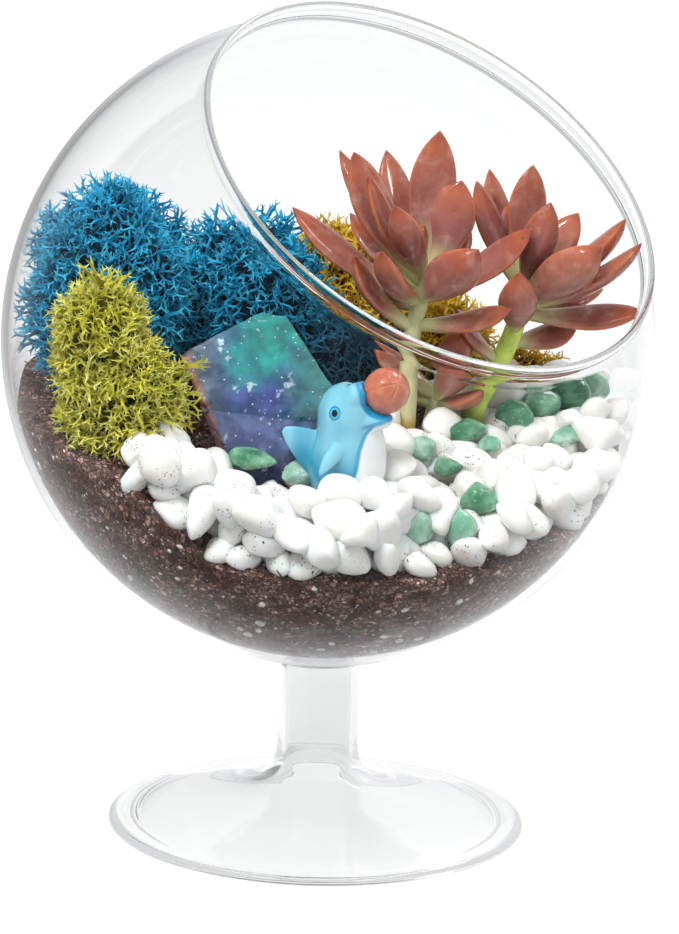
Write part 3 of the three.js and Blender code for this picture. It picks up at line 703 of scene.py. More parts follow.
def crystal_look(settings):
    look = Look("crystal", Roughness=0.12, Coat_Weight=0.8, Coat_Roughness=0.04, Subsurface_Weight=0.2,
                Subsurface_Scale=0.004, IOR=1.54)
    tree = look.tree
    at = object_place(tree)
    swirl = add_node(tree, "ShaderNodeTexNoise", {"Vector": at, "Scale": 60.0, "Detail": 3.0})
    drift = vector_maths(tree, "SUBTRACT", swirl.outputs["Color"], (0.5, 0.5, 0.5))
    warped = vector_maths(tree, "ADD", at, scaled(tree, drift, 0.022))
    x, _, z = split(tree, warped)
    slate = look.patches(Scale=120.0, Detail=6.0, Low=0.36, High=0.64, Dark=rgb("364a60"),
                         Light=rgb("7d92a4"))["Color"]
    teal = look.patches(Scale=85.0, Detail=5.0, Low=0.36, High=0.6, Dark=rgb("157488"),
                        Light=(*settings.teal, 1))["Color"]
    deep = look.patches(Scale=75.0, Detail=4.0, Low=0.36, High=0.62, Dark=rgb("175a8c"),
                        Light=(*settings.violet, 1))["Color"]
    colour = look.mix(look.step(x, -0.027, -0.019), slate, deep)
    top = look.maths("MULTIPLY", look.step(z, 0.110, 0.117), look.step(x, -0.027, -0.018))
    colour = look.mix(top, colour, teal)
    right = look.maths("MULTIPLY", look.step(x, -0.0095, -0.003), look.step(z, 0.094, 0.104))
    colour = look.mix(right, colour, rgb("3c8177"), 0.8)
    # A lower face meets the large one along a line that falls to the right: painted shade darkens that line,
    # and below it the lower face is a paler violet
    place = look.place()
    height = maths(tree, "MULTIPLY_ADD", place["X"], 0.115, place["Z"])
    line = look.maths("MULTIPLY", look.step(height, 0.102, 0.1026), look.step(height, 0.1062, 0.103))
    colour = look.mix(line, colour, rgb("123a5e"), 0.6)
    colour = look.mix(look.step(height, 0.1026, 0.102), colour, rgb("5f6c96"), 0.8)
    rust = look.patches(Scale=320.0, Detail=5.0, Low=0.38, High=0.52)["Mask"]
    colour = look.mix(look.attribute("rust"), colour, rgb("cf8d74"), rust)
    veins = add_node(tree, "ShaderNodeTexNoise", {"Vector": warped, "Scale": 95.0, "Detail": 5.0},
                     noise_type="RIDGED_MULTIFRACTAL")
    worn = look.patches(Scale=120.0, Detail=3.0, Low=0.46, High=0.62)["Mask"]
    white = look.maths("MULTIPLY", look.step(veins.outputs[0], 0.84, 1.0), worn)
    colour = look.mix(white, colour, rgb("c4d2da"), 0.8)
    flakes = look.patches(Scale=430.0, Detail=9.0, Low=0.57, High=0.62)["Mask"]
    flakes = look.maths("MULTIPLY", flakes, look.step(worn, 0.1, 0.7))
    colour = look.mix(flakes, colour, rgb("cfdbe2"), 0.8)
    shade = look.patches(Scale=230.0, Detail=6.0, Low=0.34, High=0.66, Dark=(0.44, 0.5, 0.58, 1),
                         Light=(1.08, 1.08, 1.08, 1))["Color"]
    colour = look.mix(1.0, colour, shade, blend="MULTIPLY")
    look.feed("Base Color", look.mix(look.specks(1700.0, 0.06, 0.25), colour, rgb("e6edf1")))
    look.feed("Roughness", look.step(worn, -0.3, 3.4))
    look.grain(Scale=150.0, Detail=5.0, Strength=0.35, Height=0.0006)
    return look.material


def dolphin_look(settings):
    look = Look("figurine_blue", Roughness=0.16, Coat_Weight=0.7, Coat_Roughness=0.05, Subsurface_Weight=0.12,
                Subsurface_Scale=0.003)
    body = look.mix(look.attribute("shade"), (*settings.light_blue, 1), (*settings.deep_blue, 1))
    body = look.mix(look.attribute("line"), body, rgb("0a93c6"))
    look.feed("Base Color", look.mix(look.attribute("belly"), body, rgb("f1f4f5")))
    look.feed("Roughness", look.step(look.attribute("belly"), -0.6, 3.0))
    look.grain(Scale=220.0, Strength=0.12, Height=0.0002)
    return look.material


def painted_look(name, dark, light, roughness):
    look = Look(name, Roughness=roughness, Coat_Weight=0.5, Coat_Roughness=0.06)
    look.feed("Base Color", look.patches(Scale=260.0, Detail=3.0, Low=0.3, High=0.7, Dark=dark,
                                         Light=light)["Color"])
    look.grain(Scale=600.0, Strength=0.12, Height=0.0002)
    return look.material


def moss_look(name, deep, body, tip, shaded_below=0.0):
    look = Look(name, Roughness=0.75, Specular_IOR_Level=0.22, Sheen_Weight=0.04)
    # Painted shade and highlight: the deep colour on the core and the sprigs' roots, the pale tip colour at
    # their tips
    reach = look.attribute("reach")
    colour = look.mix(look.step(reach, 0.0, 0.6), deep, body)
    colour = look.mix(look.step(reach, 0.45, 1.0), colour, tip, look.attribute("tint"))
    patch = look.patches(Scale=110.0, Detail=2.0, Low=0.3, High=0.7, Dark=(0.72, 0.72, 0.72, 1),
                         Light=(1.12, 1.12, 1.12, 1))["Color"]
    colour = look.mix(1.0, colour, patch, blend="MULTIPLY")
    # Shade reaches higher to the right, behind the stems
    place = look.place()
    higher = look.maths("MULTIPLY", look.step(place["X"], -0.014, 0.002), STEM_SHADE)
    height = look.maths("SUBTRACT", place["Z"], higher)
    low = look.step(height, shaded_below + 0.004, shaded_below - 0.01)
    look.feed("Base Color", look.mix(low, colour, rgb("1b2733"), 0.85))
    return look.material


def leaf_look(settings):
    look = Look("succulent_leaf", Roughness=0.36, Subsurface_Weight=0.1, Subsurface_Scale=0.0015,
                Subsurface_Radius=(1.0, 0.55, 0.4), Specular_IOR_Level=0.45)
    along, edge = look.attribute("along"), look.attribute("edge")
    skin = look.patches(Scale=100.0, Detail=4.0, Low=0.3, High=0.66, Dark=(*settings.mauve, 1),
                        Light=(*settings.rose, 1))["Color"]
    blush = look.patches(Scale=40.0, Detail=1.0, Low=0.35, High=0.7)["Mask"]
    # Waxy bloom and painted sheen: paler pinkish-grey patches, which are also rougher
    bloom_and_sheen = look.patches(Scale=240.0, Detail=3.0, Low=0.45, High=0.85)["Mask"]
    # Coral margin, made brighter as a painted highlight along the edge
    rim = look.maths("MULTIPLY", look.step(edge, 0.88, 1.0), look.step(along, 0.12, 0.5))
    colour = skin
    # What covers the skin, its colour, and its share
    for mask, cover, share in (
            (blush, rgb("7c4448"), 0.6),
            (look.step(along, 0.55, 1.0), (*settings.coral, 1), 0.8),
            (look.step(along, 0.46, 0.05), (*settings.green, 1), 1.0),
            (rim, rgb("bf6c42"), 0.75),
            (look.step(along, 0.88, 1.0), rgb("7d3626"), 0.7),
            (bloom_and_sheen, rgb("ccb1a8"), 0.36),
            (look.specks(500.0, 0.03, 0.2), rgb("6b3a30"), 0.6)):
        colour = look.mix(mask, colour, cover, share)
    look.feed("Base Color", colour)
    look.feed("Roughness", look.step(bloom_and_sheen, -1.1, 3.6))
    look.grain(Scale=380.0, Detail=4.0, Strength=0.22, Height=0.0003)
    return look.material


def stem_look(name, low, high, base, top):
    look = Look(name, Roughness=0.42, Subsurface_Weight=0.15, Subsurface_Scale=0.002)
    skin = look.patches(Scale=170.0, Detail=4.0, Low=0.35, High=0.65, Dark=low, Light=high)["Color"]
    look.feed("Base Color", look.mix(look.step(look.attribute("along"), top, top - 0.06), skin, base))
    look.grain(Scale=500.0, Detail=3.0, Strength=0.25, Height=0.0003)
    return look.material


def dulled(tree, place, end, dark_room, settings):
    """Share of the room's light held back: where gloss mirrors its front or its left, and on the planting."""
    path = add_node(tree, "ShaderNodeLightPath").outputs
    glossy = maths(tree, "MINIMUM", path["Glossy Depth"], 1.0)
    diffuse = maths(tree, "MINIMUM", path["Diffuse Depth"], 1.0)
    front = smooth_step(tree, maths(tree, "MULTIPLY", place["Y"], -1.0), 0.0, end)
    left = smooth_step(tree, maths(tree, "MULTIPLY", place["X"], -1.0), 0.02, 0.3)
    dark = maths(tree, "MAXIMUM", maths(tree, "MULTIPLY", front, settings.dark_front),
                 maths(tree, "MULTIPLY", left, settings.dark_left))
    return maths(tree, "MAXIMUM", maths(tree, "MULTIPLY", glossy, dark),
                 maths(tree, "MULTIPLY", diffuse, dark_room))


def floor_look(settings):
    """Pale floor that glows a little, and is duller where gloss mirrors its front or its left."""
    look = Look("floor", Base_Color=(*settings.floor, 1), Roughness=0.9, Specular_IOR_Level=0.0,
                Emission_Strength=settings.floor_glow, Emission_Color=WHITE)
    dull = dulled(look.tree, look.place(), 0.25, settings.dark_floor, settings)
    dark = add_node(look.tree, "ShaderNodeEmission", {"Strength": 0.0})
    look.surface(mixed_shader(look.tree, dull, look.shader.outputs[0], dark.outputs[0]))
    return look.material


# Glass vessel
ARC_STEPS = 72
# Share of the near wall's mirroring taken off the stem and foot
FOOT_POLARISER = 0.3


def arc(radius, start, end, steps=ARC_STEPS):
    """Points of an arc about the axis, from one angle off its top to another."""
    angles = [start + (end - start) * i / steps for i in range(steps + 1)]
    return [(abs(radius * math.sin(a)) if abs(math.sin(a)) > 1e-9 else 0.0, radius * math.cos(a))
            for a in angles]


def globe_profile():
    """Wall of the globe and its collar, about the mouth's axis."""
    inner_mouth = MOUTH_R - LIP_WALL
    half = LIP_WALL / 2
    rim = [(MOUTH_R - half + half * math.cos(a), LIP_TOP - half + half * math.sin(a))
           for a in np.linspace(0, math.pi, 9)]
    outer = arc(GLOBE_R, math.pi, math.acos(LIP_ROOT / GLOBE_R))
    collar = spline([outer[-1], (MOUTH_R, LIP_ROOT + 1.1), rim[0]], 4)[1:-1]
    inner = arc(INNER_R, math.asin(inner_mouth / INNER_R), math.pi)
    return [*outer, *[tuple(p) for p in collar], *rim, *inner]


def stem_profile():
    """Hollow stem that flares into the globe's wall, and the dished foot with its bead."""
    tube = STEM_R - STEM_WALL
    top = GLOBE_CENTRE.z - GLOBE_R + STEM_R ** 2 / (2 * GLOBE_R) + GLOBE_WALL / 2
    bore = spline([(tube, top), (tube, 36), (tube, 24), (tube, 19), (8.3, 14.6), (10.9, 11), (16, 8.4),
                   (28, 5.35), (39.5, 2.5), (42.6, 1.2), (43.5, 0)], 5)
    bead = spline([(47.2, 0), (48.6, 0.4), (FOOT_R, 1.3), (48.7, 2.2), (47.4, 2.75), (45.8, 3.0),
                   (42, 3.9), (28, 7.5), (16, 10.5), (12, 12.9), (10.1, 16.6), (STEM_R, 20.5),
                   (STEM_R, 25), (STEM_R, 36), (STEM_R, 39.6), (STEM_R + 0.5, 41.2), (STEM_R + 1.9, top)], 5)
    return [tuple(p) for p in [*bore, *bead, bore[0]]]


def turned(name, profile, sides, tree, material):
    points = [(r, 0, z) for r, z in profile]
    obj = new_object(name, points, [])
    obj.data.edges.add(len(points) - 1)
    obj.data.edges.foreach_set("vertices", [i for k in range(len(points) - 1) for i in (k, k + 1)])
    return turn_outwards(run_tree(obj, tree, Sides=sides, Material=material))


def make_vessel(settings):
    tree = turned_tree()
    # The grey codes are the painted glow of each glass where rays stay long in its wall
    thin = glass_look("clear_glass", settings.tint, settings.polariser, "c8ccce", settings)
    thick = glass_look("foot_glass", settings.foot_tint, FOOT_POLARISER, "e2e4e5", settings)
    globe = turned("glass_globe", globe_profile(), settings.sides, tree, thin)
    tilt = UP.rotation_difference(MOUTH_AXIS).to_matrix().to_4x4()
    globe.data.transform(Matrix.Translation(GLOBE_CENTRE * MM) @ tilt)
    foot = turned("stem_and_foot", stem_profile(), settings.sides, tree, thick)
    modify(globe, "BOOLEAN", operation="UNION", solver="EXACT", object=foot, material_mode="TRANSFER")
    bake(globe)
    bpy.data.objects.remove(foot)
    shaded(globe.data)
    dress(globe, thin, "glass", "glass_vessel")


# Soil
SOIL_GAP = 0.35
SOIL_R = INNER_R - SOIL_GAP


def soil_rim(turn):
    """Radius in plan where the soil's surface meets the glass."""
    low, high = 0.0, INNER_R
    for _ in range(30):
        r = (low + high) / 2
        x, y = r * math.cos(turn), r * math.sin(turn)
        far = math.hypot(r, soil_height(x, y) - GLOBE_CENTRE.z)
        low, high = (r, high) if far < SOIL_R else (low, r)
    return low


def soil_shape(sectors=144, top_rings=46, side_rings=44):
    """Bed of soil, lumpy on top and round where it lies against the glass."""
    points = [Vector((0, 0, soil_height(0, 0)))]
    turns = [2 * math.pi * j / sectors for j in range(sectors)]
    reach = [soil_rim(turn) for turn in turns]
    for i in range(1, top_rings + 1):
        for turn, rim_r in zip(turns, reach):
            r = rim_r * i / top_rings
            x, y = r * math.cos(turn), r * math.sin(turn)
            rough = noise.noise(Vector((x, y, 0)) / 7) * 1.3 + noise.noise(Vector((x, y, 9)) / 2.2) * 0.7
            points.append(Vector((x, y, soil_height(x, y) + rough * (1 - (i / top_rings) ** 6))))
    rims = points[-sectors:]
    for i in range(1, side_rings):
        for rim in rims:
            down = math.acos((rim.z - GLOBE_CENTRE.z) / SOIL_R)
            angle = down + (math.pi - down) * i / side_rings
            flat = Vector((rim.x, rim.y, 0)).normalized()
            points.append(GLOBE_CENTRE + (flat * math.sin(angle) + UP * math.cos(angle)) * SOIL_R)
    points.append(GLOBE_CENTRE - UP * SOIL_R)
    return points, round_faces(top_rings + side_rings - 1, sectors)


def random_flats(rng, count, nearest, farthest):
    """Flats of a tumbled stone: the way each faces, and how far out it lies."""
    return [(Vector([rng.gauss(0, 1) for _ in range(3)]).normalized(), rng.uniform(nearest, farthest))
            for _ in range(count)]


def knocked_off(p, flats, share):
    """Point brought back by a share of what it stands out over each flat."""
    for normal, depth in flats:
        over = p.dot(normal) - depth
        if over > 0:
            p -= normal * over * share
    return p


def wear(bm, rounds, factor):
    for _ in range(rounds):
        bmesh.ops.smooth_vert(bm, verts=bm.verts, factor=factor, use_axis_x=True, use_axis_y=True,
                              use_axis_z=True)


def lumps(name, count, subdivisions, seed, flats, share):
    """Collection of crumbs, one unit in half size: balls with flats knocked off."""
    rng = random.Random(seed)
    collection = bpy.data.collections.new(name)
    for number in range(count):
        bm = bmesh.new()
        bmesh.ops.create_icosphere(bm, subdivisions=subdivisions, radius=1.0)
        cuts = random_flats(rng, flats, 0.72, 0.92)
        shift = Vector([rng.uniform(0, 50) for _ in range(3)])
        for vert in bm.verts:
            p = vert.co * (1 + 0.16 * noise.noise(vert.co * 1.1 + shift))
            vert.co = knocked_off(p, cuts, share)
        put(f"{name}_{number}", shaded(mesh_of(f"{name}_{number}", bm)), collection)
    return collection


def scatter(name, places, sizes, spins, copies, material, seed, extra=None):
    """Copies of a collection's shapes at places, in millimetres, joined in one object."""
    obj = new_object(name, places, [])
    kinds = np.random.default_rng(seed).integers(0, len(copies.objects), len(places))
    store(obj, "size", np.array(sizes) * MM, "FLOAT_VECTOR")
    store(obj, "spin", spins, "FLOAT_VECTOR")
    store(obj, "kind", kinds, "INT")
    for attribute, values in (extra or {}).items():
        store(obj, attribute, values)
    run_tree(obj, scattered_tree(), Copies=copies, Material=material)
    remove_copies(copies)
    return obj


def remove_copies(collection):
    for obj in list(collection.objects):
        bpy.data.objects.remove(obj)
    bpy.data.collections.remove(collection)


def make_soil(settings):
    soil = new_object("soil_bed", *soil_shape())
    dress(soil, soil_look(settings), "soil", "soil")
    rng = np.random.default_rng(4)

    def at_glass(count, depth):
        """Random places on the glass under the soil's surface, with the way out of the soil there."""
        found = []
        while len(found) < count:
            out = rng.normal(size=3)
            out = Vector(out / np.linalg.norm(out))
            place = GLOBE_CENTRE + out * (SOIL_R - depth)
            if place.z < soil_height(place.x, place.y) - 0.5:
                found.append((place, out))
        return found

    def on_top(count):
        """Random places on the soil's surface, a little short of the glass."""
        found = []
        while len(found) < count:
            turn, share = rng.uniform(0, 2 * math.pi), math.sqrt(rng.random())
            r = soil_rim(turn) * share * 0.985
            x, y = r * math.cos(turn), r * math.sin(turn)
            found.append((Vector((x, y, soil_height(x, y) + 0.3)), UP))
        return found

    def loose(name, found, sizes, copies, material, slot, seed):
        """Small pieces of the soil, with the glass side of each turned out."""
        spins = []
        for _, out in found:
            spin = Euler((0, 0, rng.uniform(0, 2 * math.pi))).to_quaternion()
            spins.append((out.to_track_quat("Z", "Y") @ spin).to_euler())
        obj = scatter(name, [place for place, _ in found], sizes, spins, copies, material, seed)
        press_inside(obj, INNER_R - SOIL_GAP / 3)
        dress(obj, material, slot)

    found = at_glass(settings.perlite, 0.1)
    sizes = [(0.24 + 1.15 * rng.random() ** 4) * np.array([1, rng.uniform(0.5, 1), 0.5]) for _ in found]
    loose("perlite_bits", found, sizes, lumps("bit", 6, 1, 2, 3, 0.8), perlite_look(), "white_pebble", 6)
    found = at_glass(settings.fibres, 0.15)
    sizes = [rng.uniform(1.2, 3.6) * np.ones(3) for _ in found]
    loose("bark_fibres", found, sizes, fibre_shapes(8, 5), fibre_look(), "soil", 7)
    found = on_top(settings.crumbs)
    sizes = [rng.uniform(0.5, 1.5) * np.array([1, rng.uniform(0.6, 1), 0.7]) for _ in found]
    loose("soil_crumbs", found, sizes, lumps("crumb", 6, 2, 9, 4, 0.7), soil.data.materials[0], "soil", 8)


def fibre_shapes(count, seed):
    """Thin bent fibres two units long that lie flat."""
    rng = random.Random(seed)
    collection = bpy.data.collections.new("fibres")
    for number in range(count):
        bends = [rng.uniform(-0.45, 0.45) for _ in range(4)]
        rings = []
        for k, (bend, wide) in enumerate(zip(bends, (0.05, 0.08, 0.08, 0.05))):
            rings.append(ring(Vector((-1 + 2 * k / 3, bend, 0.02)), Vector((1, 0, 0)), UP, wide, 0.05, 3))
        put(f"fibre_{number}", mesh_from(f"fibre_{number}", *loft(rings)), collection)
    return collection


def press_inside(obj, radius):
    """Moves points that lie past a radius about the globe's centre back onto it."""
    centre = GLOBE_CENTRE * MM
    for vert in obj.data.vertices:
        off = vert.co - centre
        if off.length > radius * MM:
            vert.co = centre + off.normalized() * radius * MM


# Pebbles and stones
# Line in plan where the gravel ends at the back, and the box that it lies in
GRAVEL_BACK = ((-46, -46), (-38, -40), (-30, -33), (-6, -30), (4, -24), (14, -6), (30, 8), (46, 22),
               (60, 28), (74, 26))
GRAVEL_X = (-41, 72)
GRAVEL_Y = (-72, 28)
SPOT_STEP = 1.1
# Shares of a pebble's radius: how far it reaches, and how deep it sits in the bed and on it
PEBBLE_REACH = 0.84
SUNK_IN_BED = 0.5
SUNK_ON_BED = 0.45
BED_CLOSENESS = 0.92
PEBBLE_GAP = 0.4
PEBBLE_KINDS = 16
# Shares kept free round a piece, of a pebble's radius, and in a green stone, of its largest half size
OBSTACLE_ROOM = 0.7
STONE_ROOM = 0.72
# Places tried for a pebble, and pebbles in a row without one that end the pile
TRIES = 60
MOST_MISSES = 14
# Way the open side looks, along which the green stones stay in sight
SIGHT = Vector((0, -0.98, 0.2))
OBSTACLES = ("crystal", "dolphin", "dolphin_ball", "succulent_front", "succulent_right", "succulent_low")
STONE_NODES = [f"green_stone_{number:02d}" for number in range(1, 15)]
STONE_TONES = {"mint": ("7cc4a4", "cdf0de"), "leaf": ("3f8a60", "94d4ae"), "deep": ("266b4b", "70b994")}
# Tone, half sizes and turn of each green stone
STONES = (
    ("leaf", (6, 3.2, 2.6), -15), ("mint", (4.6, 3, 2.6), 25), ("mint", (3.8, 3, 2.8), 10),
    ("leaf", (4, 2.6, 2.2), -20), ("leaf", (5, 3, 3), 8), ("deep", (4.8, 3.4, 3.4), -12),
    ("leaf", (5.2, 3.4, 3.2), 25), ("deep", (5.2, 4, 4.2), -35), ("mint", (4, 3, 3.2), -10),
    ("mint", (4.2, 2.8, 2.6), 30), ("mint", (2.8, 2.2, 2), 0), ("leaf", (4.8, 3.6, 3.6), -20),
    ("mint", (3.6, 3.2, 4.4), -35), ("mint", (3.6, 2.8, 4), 25))
STONE_LIFT = {"green_stone_01": 2.2, "green_stone_02": 2.2}
STONE_GROWTH = 1.15
STONE_TILT = 18


def solid_tree(names):
    """Search tree over the packed solids of some nodes."""
    parts = []
    for name in names:
        mesh = frame["nodes"][name].data
        parts.append(([v.co / MM for v in mesh.vertices], [tuple(p.vertices) for p in mesh.polygons]))
    return BVHTree.FromPolygons(*joined(parts))


def stone_place(name):
    """Middle and half sizes of a green stone; those on top of the pebbles by the crystal lie higher."""
    low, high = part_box(name)
    return (low + high) / 2 / MM + UP * STONE_LIFT.get(name, 0), (high - low) / 2 / MM


def pile(settings):
    """Pebbles side by side on the soil, and others dropped one by one, each where it comes to rest lowest."""
    rng = np.random.default_rng(settings.seed)
    back_x, back_y = np.array(GRAVEL_BACK).T
    spots = np.array([(x, y) for x in np.arange(*GRAVEL_X, SPOT_STEP) for y in np.arange(*GRAVEL_Y, SPOT_STEP)
                      if y < np.interp(x, back_x, back_y) and math.hypot(x, y) < INNER_R])
    spots += rng.uniform(-0.4, 0.4, spots.shape)
    ground = np.array([soil_height(x, y) for x, y in spots])
    stones = [stone_place(name) for name in STONE_NODES]
    # Green stones count as placed pebbles: places and radii
    placed = [[*at, max(half) * STONE_ROOM] for at, half in stones]
    moss = [core for clump in MOSSES for core in clump["cores"]]
    obstacles = solid_tree(OBSTACLES)
    centre = np.array(GLOBE_CENTRE)
    farthest = INNER_R - PEBBLE_GAP

    def is_free(at, r):
        near, normal, _, away = obstacles.find_nearest(at)
        if away <= OBSTACLE_ROOM * r or (at - near).dot(normal) <= 0:
            return False
        return all(core_depth(at, core, 2) > 1 for core in moss)

    def hides_stone(at, r):
        for middle, half in stones:
            off = at - middle
            ahead = off.dot(SIGHT)
            if ahead > 0 and (off - SIGHT * ahead).length < 0.85 * r + 0.65 * max(half):
                return True
        return False

    for i in rng.permutation(len(spots)):
        r = rng.uniform(settings.smallest - 0.4, settings.largest - 0.6)
        at = Vector((*spots[i], ground[i] + SUNK_IN_BED * r))
        if (at - GLOBE_CENTRE).length + PEBBLE_REACH * r > farthest or not is_free(at, r):
            continue
        if all(math.dist(at, row[:3]) > BED_CLOSENESS * settings.closeness * (row[3] + r) for row in placed):
            placed.append([*at, r])
    low = len(placed)
    barred = np.zeros(len(spots))
    # Deeper at the front, lower by the crystal
    x, y = spots.T
    front = (np.interp(x, (-10, 2), (-36, -14)) - y) / np.interp(x, (-10, 2), (14, 26))
    front = np.clip(front, np.interp(x, (-6, 4), (-0.1, 0)), 1)
    front = front * np.interp(x, (-40, -30, 18, 40), (0.1, 1, 1, 0.35))
    misses = 0
    while misses < MOST_MISSES and len(placed) < low + settings.most:
        r = rng.uniform(settings.smallest, settings.largest)
        rows = np.array(placed)
        flat = np.hypot(spots[:, :1] - rows[:, 0], spots[:, 1:] - rows[:, 1])
        touch = settings.closeness * (rows[:, 3] + r)
        rest = np.where(flat < touch, rows[:, 2] + np.sqrt(np.maximum(touch ** 2 - flat ** 2, 0)), -1000)
        z = np.maximum(ground + SUNK_ON_BED * r, rest.max(1))
        reach = np.linalg.norm(np.column_stack([spots, z]) - centre, axis=1) + PEBBLE_REACH * r
        high = z - ground - settings.depth - settings.front_depth * front
        closed = (reach > farthest) | (high > 0) | (barred > 2)
        order = np.argsort(z - ground + np.where(closed, 1000, 0) + rng.uniform(0, 1.5, len(spots)))
        misses += 1
        for i in order[:TRIES]:
            at = Vector((*spots[i], z[i]))
            if closed[i]:
                break
            if is_free(at, r) and not hides_stone(at, r):
                placed.append([*at, r])
                misses = 0
                break
            barred[i] += 1
    return placed[len(stones):low], placed[low:]


def on_ball(p):
    """Point of a cube's surface moved evenly onto a ball."""
    xx, yy, zz = p.x ** 2, p.y ** 2, p.z ** 2
    return Vector((p.x * math.sqrt(1 - yy / 2 - zz / 2 + yy * zz / 3),
                   p.y * math.sqrt(1 - xx / 2 - zz / 2 + xx * zz / 3),
                   p.z * math.sqrt(1 - xx / 2 - yy / 2 + xx * yy / 3)))


def pebble_shapes(name, count, cuts, seed, flats, smoothing):
    """Collection of tumbled, wedge-like stones, one unit in half size, from blocks of small squares."""
    rng = random.Random(seed)
    collection = bpy.data.collections.new(name)
    for number in range(count):
        bm = bmesh.new()
        bmesh.ops.create_cube(bm, size=2.0)
        bmesh.ops.subdivide_edges(bm, edges=bm.edges, cuts=cuts, use_grid_fill=True)
        planes = random_flats(rng, flats, 0.56, 0.86)
        shift = Vector([rng.uniform(0, 50) for _ in range(3)])
        taper = [rng.uniform(-0.3, 0.3) for _ in range(3)]
        for vert in bm.verts:
            p = on_ball(vert.co)
            p *= 1 + 0.13 * noise.noise(p * 1.3 + shift)
            p = Vector((p.x * (1 + taper[0] * p.y), p.y * (1 + taper[1] * p.z), p.z * (1 + taper[2] * p.x)))
            vert.co = knocked_off(p, planes, 0.8)
        wear(bm, smoothing, 0.6)
        grow = 1 / max(v.co.length for v in bm.verts)
        bmesh.ops.scale(bm, vec=(grow, grow, grow), verts=bm.verts)
        put(f"{name}_{number}", shaded(mesh_of(f"{name}_{number}", bm)), collection)
    return collection


def make_pebbles(settings):
    material = pebble_look(settings)
    rng = np.random.default_rng(settings.seed + 1)
    bed, loose = pile(settings)
    for name, placed, cuts, smoothing in (("pebble_bed", bed, 3, 1), ("loose_pebbles", loose, 5, 2)):
        sizes = [row[3] * np.array([1.28, rng.uniform(0.8, 1.16), rng.uniform(0.7, 1.0)]) for row in placed]
        spins = [(rng.uniform(-0.9, 0.9), rng.uniform(-0.9, 0.9), rng.uniform(0, 2 * math.pi))
                 for _ in placed]
        dirt = [0.8 * ease(x, 4, -26) + ease(z - soil_height(x, y), 10, 4) for x, y, z, _ in placed]
        copies = pebble_shapes("pebble", PEBBLE_KINDS, cuts, 12, 8, smoothing)
        gravel = scatter(name, [row[:3] for row in placed], sizes, spins, copies, material, 3, {"dirt": dirt})
        press_inside(gravel, INNER_R - 0.2)
        dress(gravel, material, "white_pebble", *["white_pebbles"] * (name == "loose_pebbles"))


def make_stones(_settings):
    looks = {tone: green_stone_look(f"green_stone_{tone}", rgb(dark), rgb(light))
             for tone, (dark, light) in STONE_TONES.items()}
    shapes = pebble_shapes("stone", len(STONES), 15, 31, 7, 3)
    for name, (tone, halves, turn), shape in zip(STONE_NODES, STONES, shapes.objects):
        middle, _ = stone_place(name)
        stone = put(f"{name}_tumbled", shape.data.copy())
        turned_by = Euler((math.radians(STONE_TILT), 0, math.radians(turn))).to_matrix().to_4x4()
        size = Matrix.Diagonal([*[half * MM * STONE_GROWTH for half in halves], 1])
        stone.data.transform(Matrix.Translation(middle * MM) @ turned_by @ size)
        dress(stone, looks[tone], "green_stone", name)
    remove_copies(shapes)


# Crystal
def make_crystal(settings):
    """The solid's own corners as a block with worn edges, chips, and a broken left side."""
    bm = bmesh.new()
    for vert in frame["nodes"]["crystal"].data.vertices:
        bm.verts.new(vert.co)
    bmesh.ops.remove_doubles(bm, verts=bm.verts, dist=1e-5)
    bmesh.ops.convex_hull(bm, input=bm.verts)
    bmesh.ops.dissolve_limit(bm, angle_limit=math.radians(4), verts=bm.verts, edges=bm.edges)
    block = put("crystal_block", mesh_of("crystal_block", bm))
    modify(block, "BEVEL", width=settings.bevel * MM, segments=2, limit_method="ANGLE",
           angle_limit=math.radians(12))
    bake(block)
    surface = BVHTree.FromObject(block, bpy.context.evaluated_depsgraph_get())
    modify(block, "REMESH", mode="VOXEL", voxel_size=0.42 * MM)
    bake(block)
    for vert in block.data.vertices:
        place, normal, _, _ = surface.find_nearest(vert.co)
        p = place / MM
        broken = ease(p.x, -21, -31)
        chips = max(noise.noise(p / 2.2) - 0.2, 0) * (0.25 + 1.3 * broken)
        steps = abs(noise.noise(p / 5 + Vector((0, 0, 7)))) * 0.5
        vert.co = place - normal * (chips + steps) * MM
    modify(block, "SMOOTH", factor=0.5, iterations=1)
    bake(block)
    shaded(block.data)
    # Rust along the left edge, measured at each level
    places = np.array([v.co for v in block.data.vertices]) / MM
    levels = np.round(places[:, 2]).astype(int)
    left = {level: places[levels == level, 0].min() for level in set(levels)}
    store(block, "rust", [ease(p[0] - left[level], 3.2, 1.0) * ease(p[2], 121, 113)
                          for p, level in zip(places, levels)])
    dress(block, crystal_look(settings), "crystal", "crystal")


# Dolphin with its ball
BALL_AT = Vector((13.2, -42, 114.2))
BALL_R = 5.2
BALL_SEAT = BALL_R + 0.1
BETWEEN_EYES = (1.9, -38.3, 109.5)
# Radius, height over the skin, colour and name of each disc of an eye
EYE_DISCS = ((1.45, 0.12, "1b84b8", "eye_rim"), (1.2, 0.2, "3fb9dd", "eye_ring"),
             (0.78, 0.34, "0a0b10", "eye_pupil"))
# Share of a disc's radius, and how far it has dropped there
EYE_OUTLINE = ((0.5, 0.06), (0.85, 0.2), (1.0, 0.45), (1.0, 0.9))
